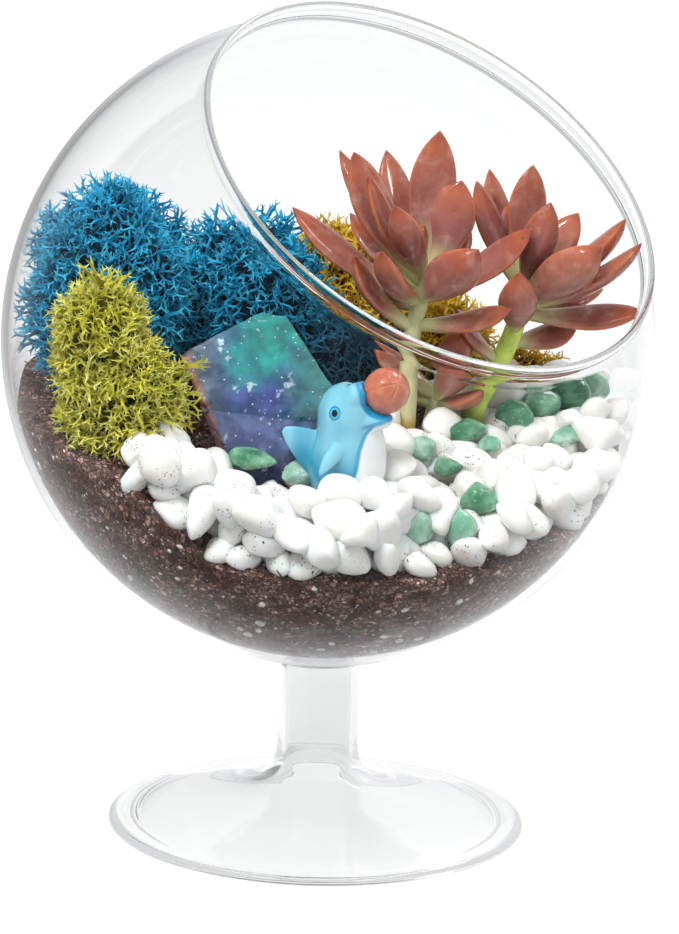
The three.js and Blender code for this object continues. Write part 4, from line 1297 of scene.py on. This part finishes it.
# Places along the body, and half its width and its depth there
DOLPHIN_BODY = (
    ((3.6, -37.5, 85.5), 4.5, 4), ((4.4, -38, 90), 7.4, 6.2), ((5, -38.5, 96), 8.7, 7.6),
    ((5.4, -38.8, 101.5), 8.1, 7.6), ((5.0, -39.3, 105.4), 7.0, 7.1), ((4.9, -39.8, 109), 6.8, 6.8),
    ((5.4, -40.3, 112), 5.6, 5.6), ((6.2, -40.6, 114.2), 3.1, 3.4))
DOLPHIN_FINS = (
    ((-1.0, -38, 98.4), (-9.6, -38, 104.1), 5.3, 1.5, (0, 0, 0)),
    ((3.2, -45, 101.6), (-1.2, -48.4, 95.9), 2.3, 1.5, (-1, -1.5, 0)),
    ((6.5, -33, 101.6), (4.5, -28.5, 95.9), 2.3, 1.5, (0, 2, 0)))
UPPER_JAW = (((4.5, -40.5, 110.6), 4.6), ((7, -41.5, 112.8), 4.0), ((9, -42.2, 114.6), 2.6))
LOWER_JAW = (((4, -40.5, 107.4), 4.4), ((9.5, -41.8, 107.2), 3.4), ((13.4, -42.6, 107.6), 2.1),
             ((14.6, -42.8, 107.9), 1.2))


# Edge of the white belly: height, and place across
BELLY_EDGE = ((84, 3.5), (91, 5.2), (96.3, 7.3), (101.3, 8.0), (104.5, 9.1), (106.9, 11.1), (108.3, 14),
              (109, 16))


def dolphin_parts():
    """Body, fins and jaws, each a body of its own."""
    back = Vector((0, -1, 0))
    rows = spline([(*at, side, up) for at, side, up in DOLPHIN_BODY], 4)
    yield loft([ring(Vector(row[:3]), course(rows, i), back, row[3], row[4], 24)
                for i, row in enumerate(rows)])
    for start, end, width, thickness, lean in DOLPHIN_FINS:
        start, end, lean = Vector(start), Vector(end), Vector(lean)
        along = (end - start).normalized()
        rings = []
        for share, size in spline([(0, 1), (0.45, 0.74), (0.8, 0.42), (1, 0.16)], 4):
            centre = start.lerp(end, share) + lean * share * (1 - share)
            rings.append(ring(centre, along, back, width * size, thickness * size, 12))
        yield loft(rings)
    for jaw in (UPPER_JAW, LOWER_JAW):
        rows = spline([(*at, r) for at, r in jaw], 4)
        along = Vector(rows[-1][:3]) - Vector(rows[0][:3])
        yield loft([ring(Vector(row[:3]), along.normalized(), UP, 1.15 * row[3], 0.8 * row[3], 16)
                    for row in rows])


def dolphin_paint(p):
    """White of the belly, lines, and deeper blue at a point of the body, lighter where highlights are
    painted.
    """
    heights, places = np.array(BELLY_EDGE).T
    slant = p.x - np.interp(p.z, heights, places)
    belly = ease(slant, -0.2, 0.25) * ease(p.z - 0.35 * p.x, 102.9, 102.3)
    away = (p - BALL_AT).length - BALL_R
    mouth = ease(away, 2.0, 1.6)
    lip = ease(abs(away - 2.6), 0.6, 0.2) * ease(p.z, 107, 109)
    under = ease(abs(p.z - 0.3 * p.x - 103.9), 0.55, 0.2) * ease(p.x, 7, 9)
    edge = ease(abs(slant + 0.55), 0.65, 0.25) * ease(p.z, 107.5, 106)
    line = max(mouth, 0.8 * under, 0.75 * edge)
    # Deeper blue low down, at the left and on top of the head; painted highlights make the fin's tip and the
    # front flipper lighter
    shade = min(1.0, 0.85 * ease(p.z, 103, 93) + 0.5 * ease(p.x, 1, -4) + 0.25 * ease(p.z, 110, 116)
                - 0.8 * ease(p.x, -6, -9.4) - 0.7 * ease(p.y, -46.2, -47.5) * ease(p.z, 103, 100)
                - 0.5 * lip + 0.3 * max(noise.noise(p / 4), 0))
    return belly, line, shade


def make_figurine(settings):
    body = new_object("dolphin_body", *joined(dolphin_parts()))
    modify(body, "REMESH", mode="VOXEL", voxel_size=0.32 * MM)
    modify(body, "SMOOTH", factor=0.6, iterations=7)
    bake(body)
    shaded(body.data)
    paint = []
    for vert in body.data.vertices:
        p = vert.co / MM
        off = p - BALL_AT
        if off.length < BALL_SEAT:
            p = BALL_AT + off.normalized() * BALL_SEAT
            vert.co = p * MM
        paint.append(dolphin_paint(p))
    for name, values in zip(("belly", "line", "shade"), np.clip(paint, 0, 1).T):
        store(body, name, values)
    dress(body, dolphin_look(settings), "figurine_blue", "dolphin")
    make_eyes(BVHTree.FromObject(body, bpy.context.evaluated_depsgraph_get()))
    make_ball(settings)


def make_eyes(surface):
    """Painted ring and glossy pupil on both sides of the head."""
    x, y, z = BETWEEN_EYES
    for radius, stand, code, name in EYE_DISCS:
        parts = []
        for side in (-1, 1):
            start = Vector((x, y + side * 15, z)) * MM
            hit, normal, _, _ = surface.ray_cast(start, Vector((0, -side, 0)))
            middle = hit / MM + normal * stand
            turn = normal.to_track_quat("Z", "Y")
            points = [middle]
            for share, drop in EYE_OUTLINE:
                for a in [2 * math.pi * k / 24 for k in range(24)]:
                    across, up = math.cos(a) * radius * share, math.sin(a) * radius * share * 1.15
                    points.append(middle + turn @ Vector((across, up, -drop * 0.6)))
            points.append(middle + turn @ Vector((0, 0, -0.9)))
            parts.append((points, round_faces(len(EYE_OUTLINE), 24)))
        eye = turn_outwards(new_object(name, *joined(parts)))
        dress(eye, painted_look(name, rgb(code), rgb(code), 0.08), "figurine_blue")


def make_ball(settings, sides=96, rings=64):
    """Ball with six moulded grooves that meet in a star."""
    points = []
    pole = Vector((0.45, -0.7, 0.45)).normalized()
    tilt = pole.to_track_quat("Z", "Y")
    for i in range(rings + 1):
        a = math.pi * i / rings
        for j in range(sides if 0 < i < rings else 1):
            b = 2 * math.pi * j / sides
            groove = abs(math.sin(3 * b)) * math.sin(a)
            depth = 0.22 * (1 - ease(groove, 0.03, 0.16)) * ease(math.sin(a), 0.0, 0.25)
            out = Vector((math.sin(a) * math.cos(b), math.sin(a) * math.sin(b), math.cos(a)))
            points.append(BALL_AT + tilt @ out * (BALL_R - depth))
    ball = turn_outwards(new_object("ball_moulded", points, round_faces(rings - 1, sides)))
    look = painted_look("ball_coral", (*settings.ball_dark, 1), (*settings.ball_light, 1), 0.2)
    dress(ball, look, "ball_coral", "dolphin_ball")


# Moss: clumps, with the middle and the half sizes of each core
MOSSES = (
    {"node": "moss_green", "slot": "green_moss", "seed": 3, "spacing": 1.2, "length": 8.4,
     "cores": (((-50.5, -33, 121), (7.6, 9, 12)), ((-46, -36, 109), (11, 10, 10)))},
    {"node": "moss_blue_left", "slot": "blue_moss", "seed": 5, "spacing": 1.44, "length": 9.4,
     "cores": (((-51, 2, 125), (15, 20, 22)),)},
    {"node": "moss_blue_middle", "slot": "blue_moss", "seed": 8, "spacing": 1.45, "length": 9,
     "cores": (((-20, 14, 121), (16, 15, 19)), ((4, 11, 107), (11, 10, 10)))},
    {"node": "moss_gold_back", "slot": "gold_moss", "seed": 13, "spacing": 1.35, "length": 9,
     "cores": (((1, 37, 120), (12, 11, 14)), ((25, 31, 110), (11, 10, 10)))},
    {"node": "moss_gold_right", "slot": "gold_moss", "seed": 21, "spacing": 1.1, "length": 6,
     "cores": (((48, 24, 104), (6.5, 5.5, 5.5)),)},
)
MOSS_GAP = 0.25
# How full the cores are at their corners; 2 would make them ellipsoids
FULL = 2.6


def core_depth(point, core, grow):
    """Less than 1 inside a core that is made some millimetres larger."""
    at, radii = core
    return sum((abs(point[k] - at[k]) / (radii[k] + grow)) ** FULL for k in range(3)) ** (1 / FULL)


def core_shape(core, seed):
    """Lumpy core that sprigs stand out of; it takes the moss's deep colour, painted shade inside the clump.
    """
    at, radii = core
    shift = Vector((seed, 0, 0))
    bm = bmesh.new()
    bmesh.ops.create_icosphere(bm, subdivisions=4, radius=1.0)
    for vert in bm.verts:
        p = vert.co / sum(abs(c) ** FULL for c in vert.co) ** (1 / FULL)
        p = Vector([c * r for c, r in zip(p, radii)])
        p *= 0.87 + 0.34 * noise.noise(p / 9 + shift) + 0.2 * noise.noise(p / 4 + shift)
        vert.co = p + Vector(at)
    points = [v.co.copy() for v in bm.verts]
    faces = [tuple(v.index for v in f.verts) for f in bm.faces]
    bm.free()
    return points, faces


# Forks of a sprig one unit long, and what is left of a twig's radius after each
TWIG_LEVELS = 3
TWIG_RADIUS = 0.049
TWIG_THINNING = 0.84


def sprig_collection(seed, count=8):
    """Sprigs about one unit long that fork three times, of three-sided twigs that end in points."""
    rng = random.Random(seed)
    collection = bpy.data.collections.new("sprigs")

    def twig(start, end, start_r, end_r, level, parts):
        along = (end - start).normalized()
        side = along.orthogonal()
        if end_r:
            tip = ring(end, along, side, end_r, end_r, 3)
            faces = [(j, (j + 1) % 3, 3 + (j + 1) % 3, 3 + j) for j in range(3)] + [(3, 4, 5)]
        else:
            tip = [end]
            faces = [(j, (j + 1) % 3, 3) for j in range(3)]
        reach = [(TWIG_LEVELS - level + k) / (TWIG_LEVELS + 1) for k in (0, 1)]
        parts.append((ring(start, along, side, start_r, start_r, 3) + tip, [*faces, (2, 1, 0)],
                      [reach[0]] * 3 + [reach[1]] * len(tip)))

    def grow(start, along, length, radius, level, parts):
        end = start + along * length
        twig(start, end, radius, radius * TWIG_THINNING if level else 0.0, level, parts)
        if level == 0:
            return
        offset = rng.uniform(0, 2 * math.pi)
        side = along.orthogonal().normalized()
        for k in range(2):
            turn = offset + math.pi * k + rng.uniform(-0.5, 0.5)
            out = side * math.cos(turn) + along.cross(side) * math.sin(turn)
            away = (along + out * rng.uniform(0.45, 1.35)).normalized()
            grow(end, away, length * rng.uniform(0.7, 1.0), radius * TWIG_THINNING, level - 1, parts)

    for number in range(count):
        parts = []
        grow(Vector((0, 0, 0)), UP, rng.uniform(0.22, 0.32), TWIG_RADIUS, TWIG_LEVELS, parts)
        points, faces = joined([(p, f) for p, f, _ in parts])
        obj = put(f"sprig_{number}", mesh_from(f"sprig_{number}", points, faces), collection)
        store(obj, "reach", [value for _, _, reach in parts for value in reach])
    return collection


def make_moss(settings):
    # Each moss: deep colour as painted shade at the roots, its own colour, and a pale colour as painted
    # highlight at the tips
    looks = {
        "green_moss": moss_look("moss_green", rgb("4c4d10"), (*settings.green, 1), rgb("eae893")),
        "blue_moss": moss_look("moss_blue", rgb("022838"), (*settings.blue, 1), rgb("62cfe8"), 0.112),
        "gold_moss": moss_look("moss_gold", rgb("4a3208"), (*settings.gold, 1), rgb("ecd054")),
    }
    tree = moss_tree()
    sprigs = sprig_collection(settings.seed)
    spacing = MM * 1.0
    glass = {"Glass radius": (INNER_R - MOSS_GAP) * MM, "Glass centre": GLOBE_CENTRE * MM}
    for clump in MOSSES:
        look = looks[clump["slot"]]
        shapes = [core_shape(core, clump["seed"] + k) for k, core in enumerate(clump["cores"])]
        obj = new_object(f"{clump['node']}_sprigs", *joined(shapes))
        run_tree(obj, tree, Sprigs=sprigs, Spacing=clump["spacing"] * spacing, Length=clump["length"] * MM,
                 Spread=settings.spread, Seed=clump["seed"], Material=look, **glass)
        dress(obj, look, clump["slot"], clump["node"])
    remove_copies(sprigs)


# Succulents: each leaf springs from its stem at a level, and points to a turn and a rise
PLANTS = (
    {"node": "succulent_front", "facing": (-70, 48), "stem_r": (2.4, 1.6), "stem_look": "pale",
     "stem": ((17, -6, 87), (18.5, -7, 100), (18.7, -8, 113), (19.5, -8, 122), (21.5, -8, 131),
              (22, -8, 137)),
     # level, turn, rise, long, wide, bow
     "leaves": (
         (128, 176, 35, 36.5, 7.2, 0.25), (122, -148, 47, 24.5, 6.4, 0.35), (133, 156, 52, 36, 6.4, 0.2),
         (133, -177, 60, 34, 10.4, 0.3), (131, 145, 36, 26, 6.4, 0.2), (134, -149, 57, 29, 7.8, 0.25),
         (134, 126, 59, 31.5, 7.8, 0.2), (134, 64, 80, 33.5, 9.8, 0.2), (134, -120, 51, 23.5, 7, 0.2),
         (129, -119, 35, 23.5, 8.8, 0.3), (134, 20, 69, 23.5, 10.8, 0.25), (133, 37, 39, 17, 6, 0.2),
         (136, 180, 86, 10, 3.8, 0.1), (130, -55, 33, 25, 10, 0.35), (129, -9, 35, 30.5, 7.4, 0.3),
         (123, -25, 14, 24.5, 6.6, 0.25), (127, 137, 15, 15.5, 6, 0.2))},
    {"node": "succulent_right", "facing": (-65, 45), "stem_r": (2.7, 1.9), "stem_look": "bright",
     "stem": ((32, 2, 92), (35, 0, 103), (39, 0, 111), (42, 0, 118), (44, 0, 125), (45, 0, 133)),
     "leaves": (
         (122, -90, 44, 21.5, 8, 0.5), (130, 170, 65, 27.5, 7, 0.2), (130, 130, 64, 29.5, 6.5, 0.2),
         (129, 111, 50, 25, 5, 0.2), (131, 108, 63, 21, 7.8, 0.2), (132, 68, 83, 27, 8.4, 0.2),
         (131, -60, 64, 23.5, 7.4, 0.25), (130, 29, 50, 22.5, 7.4, 0.25), (130, -17, 38, 30, 8.4, 0.25),
         (128, -41, 34, 27.5, 10, 0.35), (127, -24, 30, 33.5, 7, 0.3), (126, 22, 9, 21.5, 5.6, 0.2),
         (125, -12, 4, 29, 7, 0.25), (118, 14, 10, 16.5, 6.5, 0.3), (113, -143, 46, 19, 5.6, 0.25),
         (114, 65, -19, 14, 5.2, 0.2))},
    {"node": "succulent_low", "facing": (-60, 55), "stem_r": (2, 1.6), "stem_look": "pale",
     "growth": (1.2, 1.35),
     "stem": ((23, 2, 91), (24.5, 0, 99), (25.5, -1, 104), (26, -1, 107)),
     "leaves": (
         (106, -33, 68, 14, 5.6, 0.25), (105, -60, 42, 14.5, 5.2, 0.3), (104, -38, 16, 11.5, 4.8, 0.3),
         (105, 168, 40, 16.5, 6, 0.3), (103, 150, 25, 14, 5.2, 0.3), (106, 60, 50, 13, 5.2, 0.2))},
)
# Share of a leaf's length, of half its width, and of its thickness
LEAF_OUTLINE = ((0, 0.36, 0.66), (0.15, 0.45, 0.76), (0.36, 0.76, 0.95), (0.57, 0.97, 1), (0.72, 0.92, 0.93),
                (0.86, 0.64, 0.68), (0.95, 0.29, 0.34), (1, 0.02, 0.03))
LEAF_WIDTH = 1.16
LEAF_THICKNESS = 0.62
LEAF_UPTURN = 0.25


def stem_at(stem, level):
    rows = np.array(stem, float)
    return Vector([*(np.interp(level, rows[:, 2], rows[:, k]) for k in (0, 1)), level])


def leaf_shape(plant, leaf, stations=22, sides=20):
    """Fleshy leaf, flat or a little hollow above and keeled below, with shares along and across it."""
    level, turn, rise, long, wide, bow = leaf
    longer, wider = plant.get("growth", (1, 1))
    long, wide = longer * long, wider * wide
    along = heading(turn, rise)
    facing = heading(*plant["facing"]) + UP * LEAF_UPTURN
    up = facing - along * along.dot(facing)
    # Leaves that point to where the rosette looks turn their backs outwards
    back = Vector((0, 1, 0.15)) + along * along.y * -1
    up = up.normalized().lerp(back.normalized(), ease(up.length, 0.85, 0.5)).normalized()
    start = stem_at(plant["stem"], level)
    half = LEAF_WIDTH * wide / 2
    twist = noise.noise(Vector((turn, rise, level)) / 10) * 0.5
    rings, along_of, edge_of = [], [], []
    for i in range(stations + 1):
        share = 1 - (1 - i / stations) ** 1.35
        width, thick = smooth_value(LEAF_OUTLINE, share)
        tangent = (along + up * bow * (2 * share - 1)).normalized()
        high = (up + along.cross(up) * twist * (share - 0.3)).normalized()
        centre = start + along * share * long + up * bow * long * (share * share - share)
        height = thick * LEAF_THICKNESS * half

        def up_of(t):
            rise = math.sin(t) * (0.4 + 0.6 * abs(math.sin(t)))
            if rise <= 0:
                return 1.15 * rise
            return 0.75 * rise - 0.28 * math.sin(t) ** 4 * ease(share, 0.1, 0.4)

        rings.append(ring(centre, tangent, high, width * half, height, sides, up_of))
        along_of += [share] * sides
        edge_of += [abs(math.cos(2 * math.pi * k / sides)) for k in range(sides)]
    points, faces = loft(rings)
    return points, faces, along_of, edge_of


def stem_shape(plant, sides=18, steps=9):
    rows = spline(plant["stem"], steps)
    low, high = plant["stem_r"]
    rings, along_of = [], []
    for i, row in enumerate(rows):
        share = i / (len(rows) - 1)
        r = (low + (high - low) * share) * (1 + 0.07 * noise.noise(Vector((0, share * 9, low))))
        rings.append(ring(Vector(row), course(rows, i), Vector((0, 1, 0)), r, r, sides))
        along_of += [share] * sides
    points, faces = loft(rings)
    return points, faces, along_of, [0] * len(points)


def make_succulents(settings):
    leaf = leaf_look(settings)
    stems = {"pale": stem_look("stem_pale", rgb("b9b98a"), rgb("d7d2a0"), rgb("b08f35"), 0.24),
             "bright": stem_look("stem_bright", rgb("9fb84a"), rgb("c9dd6a"), rgb("8a8a3c"), 0.2)}
    for plant in PLANTS:
        shapes = [leaf_shape(plant, row) for row in plant["leaves"]]
        shapes.append(stem_shape(plant))
        points, faces = joined([(p, f) for p, f, _, _ in shapes])
        obj = new_object(f"{plant['node']}_plant", points, faces)
        store(obj, "along", [v for shape in shapes for v in shape[2]])
        store(obj, "edge", [v for shape in shapes for v in shape[3]])
        obj.data.materials.append(leaf)
        obj.data.materials.append(stems[plant["stem_look"]])
        stem_faces = len(shapes[-1][1])
        leaf_faces = len(faces) - stem_faces
        obj.data.polygons.foreach_set("material_index", [0] * leaf_faces + [1] * stem_faces)
        turn_outwards(obj)
        dress(obj, leaf, "leaf", plant["node"])


# Stage: floor, light and camera
FLOOR_HALF = 6000
LIT_POINT = Vector((0, 0, 0.1))


def make_lamp(name, kind, at, power, unseen, **settings):
    """Lamp that looks at the planting, and that some kinds of ray don't see."""
    light = bpy.data.lights.new(name, kind)
    light.energy = power
    for key, value in settings.items():
        setattr(light, key, value)
    lamp = put(name, light)
    lamp.location = at
    lamp.rotation_euler = (LIT_POINT - Vector(at)).to_track_quat("-Z", "Y").to_euler()
    for ray in unseen:
        setattr(lamp, f"visible_{ray}", False)


def make_stage(settings):
    corners = [(x * FLOOR_HALF, y * FLOOR_HALF, -0.1) for x, y in ((-1, -1), (1, -1), (1, 1), (-1, 1))]
    floor = new_object("floor", corners, [(0, 1, 2, 3)])
    floor.data.materials.append(floor_look(settings))
    scene = bpy.context.scene
    world = bpy.data.worlds.new("soft_room")
    scene.world = world
    world.use_nodes = True
    tree = world.node_tree
    back = tree.nodes["Background"]
    at = split(tree, add_node(tree, "ShaderNodeTexCoord").outputs["Generated"])
    height = smooth_step(tree, at["Z"], 0.05, 0.45)
    tree.links.new(mixed(tree, height, (*settings.wall, 1), WHITE), back.inputs["Color"])
    bright = maths(tree, "SUBTRACT", 1.0, dulled(tree, at, 0.5, settings.dark_room, settings))
    tree.links.new(maths(tree, "MULTIPLY", bright, settings.room_light), back.inputs["Strength"])
    soft = ("glossy", "transmission")
    for name, at, size, power, unseen in (
            ("key", (-0.55, -0.75, 1.3), 0.7, settings.key_light, soft),
            ("fill", (0.9, -0.9, 0.7), 0.9, settings.fill_light, soft),
            ("gloss", (0.75, 0.6, 1.25), 0.5, settings.gloss_light, ())):
        make_lamp(name, "AREA", at, power, unseen, shape="SQUARE", size=size)
    for name, at, power in (("glint left", (-0.5, -0.8, 1.2), settings.glint),
                            ("glint right", (0.7, -0.7, 1.1), settings.glint / 2)):
        make_lamp(name, "POINT", at, power, ("diffuse",), shadow_soft_size=0)
    scene.view_settings.view_transform = "Standard"
    scene.cycles.max_bounces = 16
    scene.cycles.transmission_bounces = scene.cycles.glossy_bounces = 12
    scene.cycles.transparent_max_bounces = 16
    make_camera()


# The photograph's camera, fitted to the outlines of the globe, the mouth and the foot
CAMERA_DISTANCE = 1.0
CAMERA_RISE = 11.09
CAMERA_PITCH = 12.77
CAMERA_YAW = 0.20
CAMERA_ROLL = 1.59
FOCAL_PIXELS = 4312
PICTURE_HEIGHT = 934
SENSOR = 36


def make_camera():
    rise, pitch, yaw, roll = (math.radians(a) for a in (CAMERA_RISE, CAMERA_PITCH, CAMERA_YAW, CAMERA_ROLL))
    at = GLOBE_CENTRE * MM + Vector((0, -math.cos(rise), math.sin(rise))) * CAMERA_DISTANCE
    ahead = Vector((math.sin(yaw) * math.cos(pitch), math.cos(yaw) * math.cos(pitch), -math.sin(pitch)))
    right = Vector((math.cos(yaw), -math.sin(yaw), 0))
    up = right.cross(ahead)
    right, up = (right * math.cos(roll) + up * math.sin(roll), up * math.cos(roll) - right * math.sin(roll))
    camera = put("camera", bpy.data.cameras.new("camera"))
    camera.data.sensor_width = SENSOR
    camera.data.lens = FOCAL_PIXELS / PICTURE_HEIGHT * SENSOR
    camera.data.clip_start = 0.01
    camera.matrix_world = Matrix((
        (right.x, up.x, -ahead.x, at.x), (right.y, up.y, -ahead.y, at.y), (right.z, up.z, -ahead.z, at.z),
        (0, 0, 0, 1)))
    bpy.context.scene.camera = camera


# Settings
def colour(name, description, code):
    return FloatVectorProperty(name=name, description=description, subtype="COLOR", size=3, min=0, max=1,
                               default=rgb(code)[:3])


def number(name, description, default, **limits):
    return FloatProperty(name=name, description=description, default=default, **limits)


def share(name, description, default):
    return number(name, description, default, min=0, max=1)


def power(name, default, description="Power, in W"):
    return number(name, description, default, subtype="POWER")


def count(name, description, default, **limits):
    return IntProperty(name=name, description=description, default=default, **limits)


class VesselSettings(bpy.types.PropertyGroup):
    """Glass vessel."""
    sides: count("Sides", "Facets round the globe and the foot", 128, min=24)
    ior: number("Refraction", "Index of refraction of the glass", 1.5, min=1)
    tint: colour("Tint", "Colour of the glass", "fafbfb")
    foot_tint: colour("Foot tint", "Colour of the thicker glass of stem and foot", "eff0f0")
    shadow: colour("Shadow", "Light that the wall lets through", "fcfdfd")
    polariser: share("Polariser", "Share of the near wall's mirroring taken off", 0.88)


class SoilSettings(bpy.types.PropertyGroup):
    """Soil and perlite."""
    dark: colour("Dark soil", "Colour of the damp soil", "7e5046")
    light: colour("Light soil", "Colour of the dry soil", "c09b90")
    perlite: count("Perlite", "Number of bits that show at the glass", 900)
    fibres: count("Fibres", "Number of bark fibres that show at the glass", 420)
    crumbs: count("Crumbs", "Number of crumbs on the soil's surface", 900)


class PebbleSettings(bpy.types.PropertyGroup):
    """White pebbles."""
    white: colour("White", "Colour of the pebbles", "f6f4f1")
    shade: colour("Shade", "Colour of their greyer patches", "e2e0dc")
    smallest: number("Smallest", "Half size, in mm", 4.0)
    largest: number("Largest", "Half size, in mm", 6.0)
    depth: number("Depth", "Height of the highest pebble's middle over the soil, in mm", 8.6)
    front_depth: number("Front depth", "Added to it at the front, in mm", 6.0)
    closeness: number("Closeness", "Share of two radii at which they touch", 0.66)
    most: count("Most", "Most pebbles on top of the bed", 330)
    seed: count("Seed", "Seed of the pile", 5)


class CrystalSettings(bpy.types.PropertyGroup):
    """Crystal."""
    bevel: number("Bevel", "Wear of the edges, in mm", 0.8)
    teal: colour("Teal", "Colour of the top", "179b92")
    violet: colour("Violet", "Colour of the middle", "454a9a")


class FigurineSettings(bpy.types.PropertyGroup):
    """Dolphin and ball."""
    light_blue: colour("Light blue", "Colour of the body", "84c7dc")
    deep_blue: colour("Deep blue", "Colour of its back and tail", "0e92b6")
    ball_light: colour("Ball", "Colour of the ball", "cf7c60")
    ball_dark: colour("Ball shade", "Its deeper patches", "b85f48")


class MossSettings(bpy.types.PropertyGroup):
    """Moss."""
    green: colour("Green", "Colour of the green moss", "c2bb34")
    blue: colour("Blue", "Colour of the blue moss", "0094c2")
    gold: colour("Gold", "Colour of the gold moss", "d6aa26")
    spread: number("Spread", "How far sprigs lean", 1.3, subtype="ANGLE")
    seed: count("Seed", "Seed of the sprigs' forks", 11)


class PlantSettings(bpy.types.PropertyGroup):
    """Succulents."""
    rose: colour("Rose", "Colour of the leaves", "b07362")
    mauve: colour("Mauve", "Their shaded patches", "7f473b")
    coral: colour("Coral", "Colour of the outer half", "ad5836")
    green: colour("Green", "Colour of the leaf bases", "bfc08a")


class StageSettings(bpy.types.PropertyGroup):
    """Floor and light."""
    floor: colour("Floor", "Colour of the floor", "808080")
    floor_glow: number("Glow", "Light that the floor gives off", 0.93)
    wall: colour("Wall", "Colour of the room near the horizon", "e6e8ea")
    room_light: number("Room light", "Strength of the room's light", 1.15)
    dark_front: share("Dark front", "Share of the room's front that gloss doesn't mirror", 0.35)
    dark_left: share("Dark left", "Share of the room's left that gloss doesn't mirror", 0.6)
    dark_room: share("Dark room", "Share of the room's light kept off the planting", 0.6)
    dark_floor: share("Dark floor", "Share of the floor's light kept off the planting", 0.3)
    key_light: power("Key light", 23)
    fill_light: power("Fill light", 4)
    gloss_light: power("Gloss light", 5)
    glint: power("Glint", 20, "Power of the lamp that only gloss shows, in W")


PARTS = (
    ("vessel", "Glass vessel", "Globe, stem and foot", VesselSettings, make_vessel),
    ("soil", "Soil", "Soil with perlite", SoilSettings, make_soil),
    ("pebbles", "Pebbles", "Bed of white pebbles", PebbleSettings, make_pebbles),
    ("stones", "Green stones", "Tumbled green stones", None, make_stones),
    ("crystal", "Crystal", "Polished crystal", CrystalSettings, make_crystal),
    ("figurine", "Dolphin", "Dolphin with its ball", FigurineSettings, make_figurine),
    ("moss", "Moss", "Clumps of dyed moss", MossSettings, make_moss),
    ("succulents", "Succulents", "Three succulents", PlantSettings, make_succulents),
    ("stage", "Stage", "Floor, light and camera", StageSettings, make_stage),
)


def make_operator(key, label, description, settings_class, make):
    def execute(self, context):
        make(getattr(context.scene.terrarium, key) if settings_class else None)
        return {"FINISHED"}

    return type(f"TERRARIUM_OT_{key}", (bpy.types.Operator,), {
        "bl_idname": f"terrarium.{key}", "bl_label": label, "__doc__": description, "execute": execute})


OPERATORS = [make_operator(*part) for part in PARTS]


class TerrariumSettings(bpy.types.PropertyGroup):
    """All settings."""
    __annotations__ = {key: PointerProperty(type=kind) for key, _, _, kind, _ in PARTS if kind}


class TERRARIUM_PT_panel(bpy.types.Panel):
    """Lists the pieces and their settings."""
    bl_label = "Terrarium"
    bl_space_type = "VIEW_3D"
    bl_region_type = "UI"
    bl_category = "Terrarium"

    def draw(self, context):
        for key, _, _, kind, _ in PARTS:
            box = self.layout.box()
            box.operator(f"terrarium.{key}")
            if kind:
                settings = getattr(context.scene.terrarium, key)
                for name in kind.__annotations__:
                    box.prop(settings, name)


CLASSES = [kind for _, _, _, kind, _ in PARTS if kind] + [TerrariumSettings, *OPERATORS, TERRARIUM_PT_panel]


def register():
    for cls in CLASSES:
        bpy.utils.register_class(cls)
    bpy.types.Scene.terrarium = PointerProperty(type=TerrariumSettings)


def unregister():
    del bpy.types.Scene.terrarium
    for cls in reversed(CLASSES):
        bpy.utils.unregister_class(cls)


def main():
    register()
    GROUPS.update({"Uneven colour": uneven_group(), "Grain": grain_group(), "Specks": specks_group()})
    for key, *_ in PARTS:
        getattr(bpy.ops.terrarium, key)()


if __name__ == "__main__":
    main()
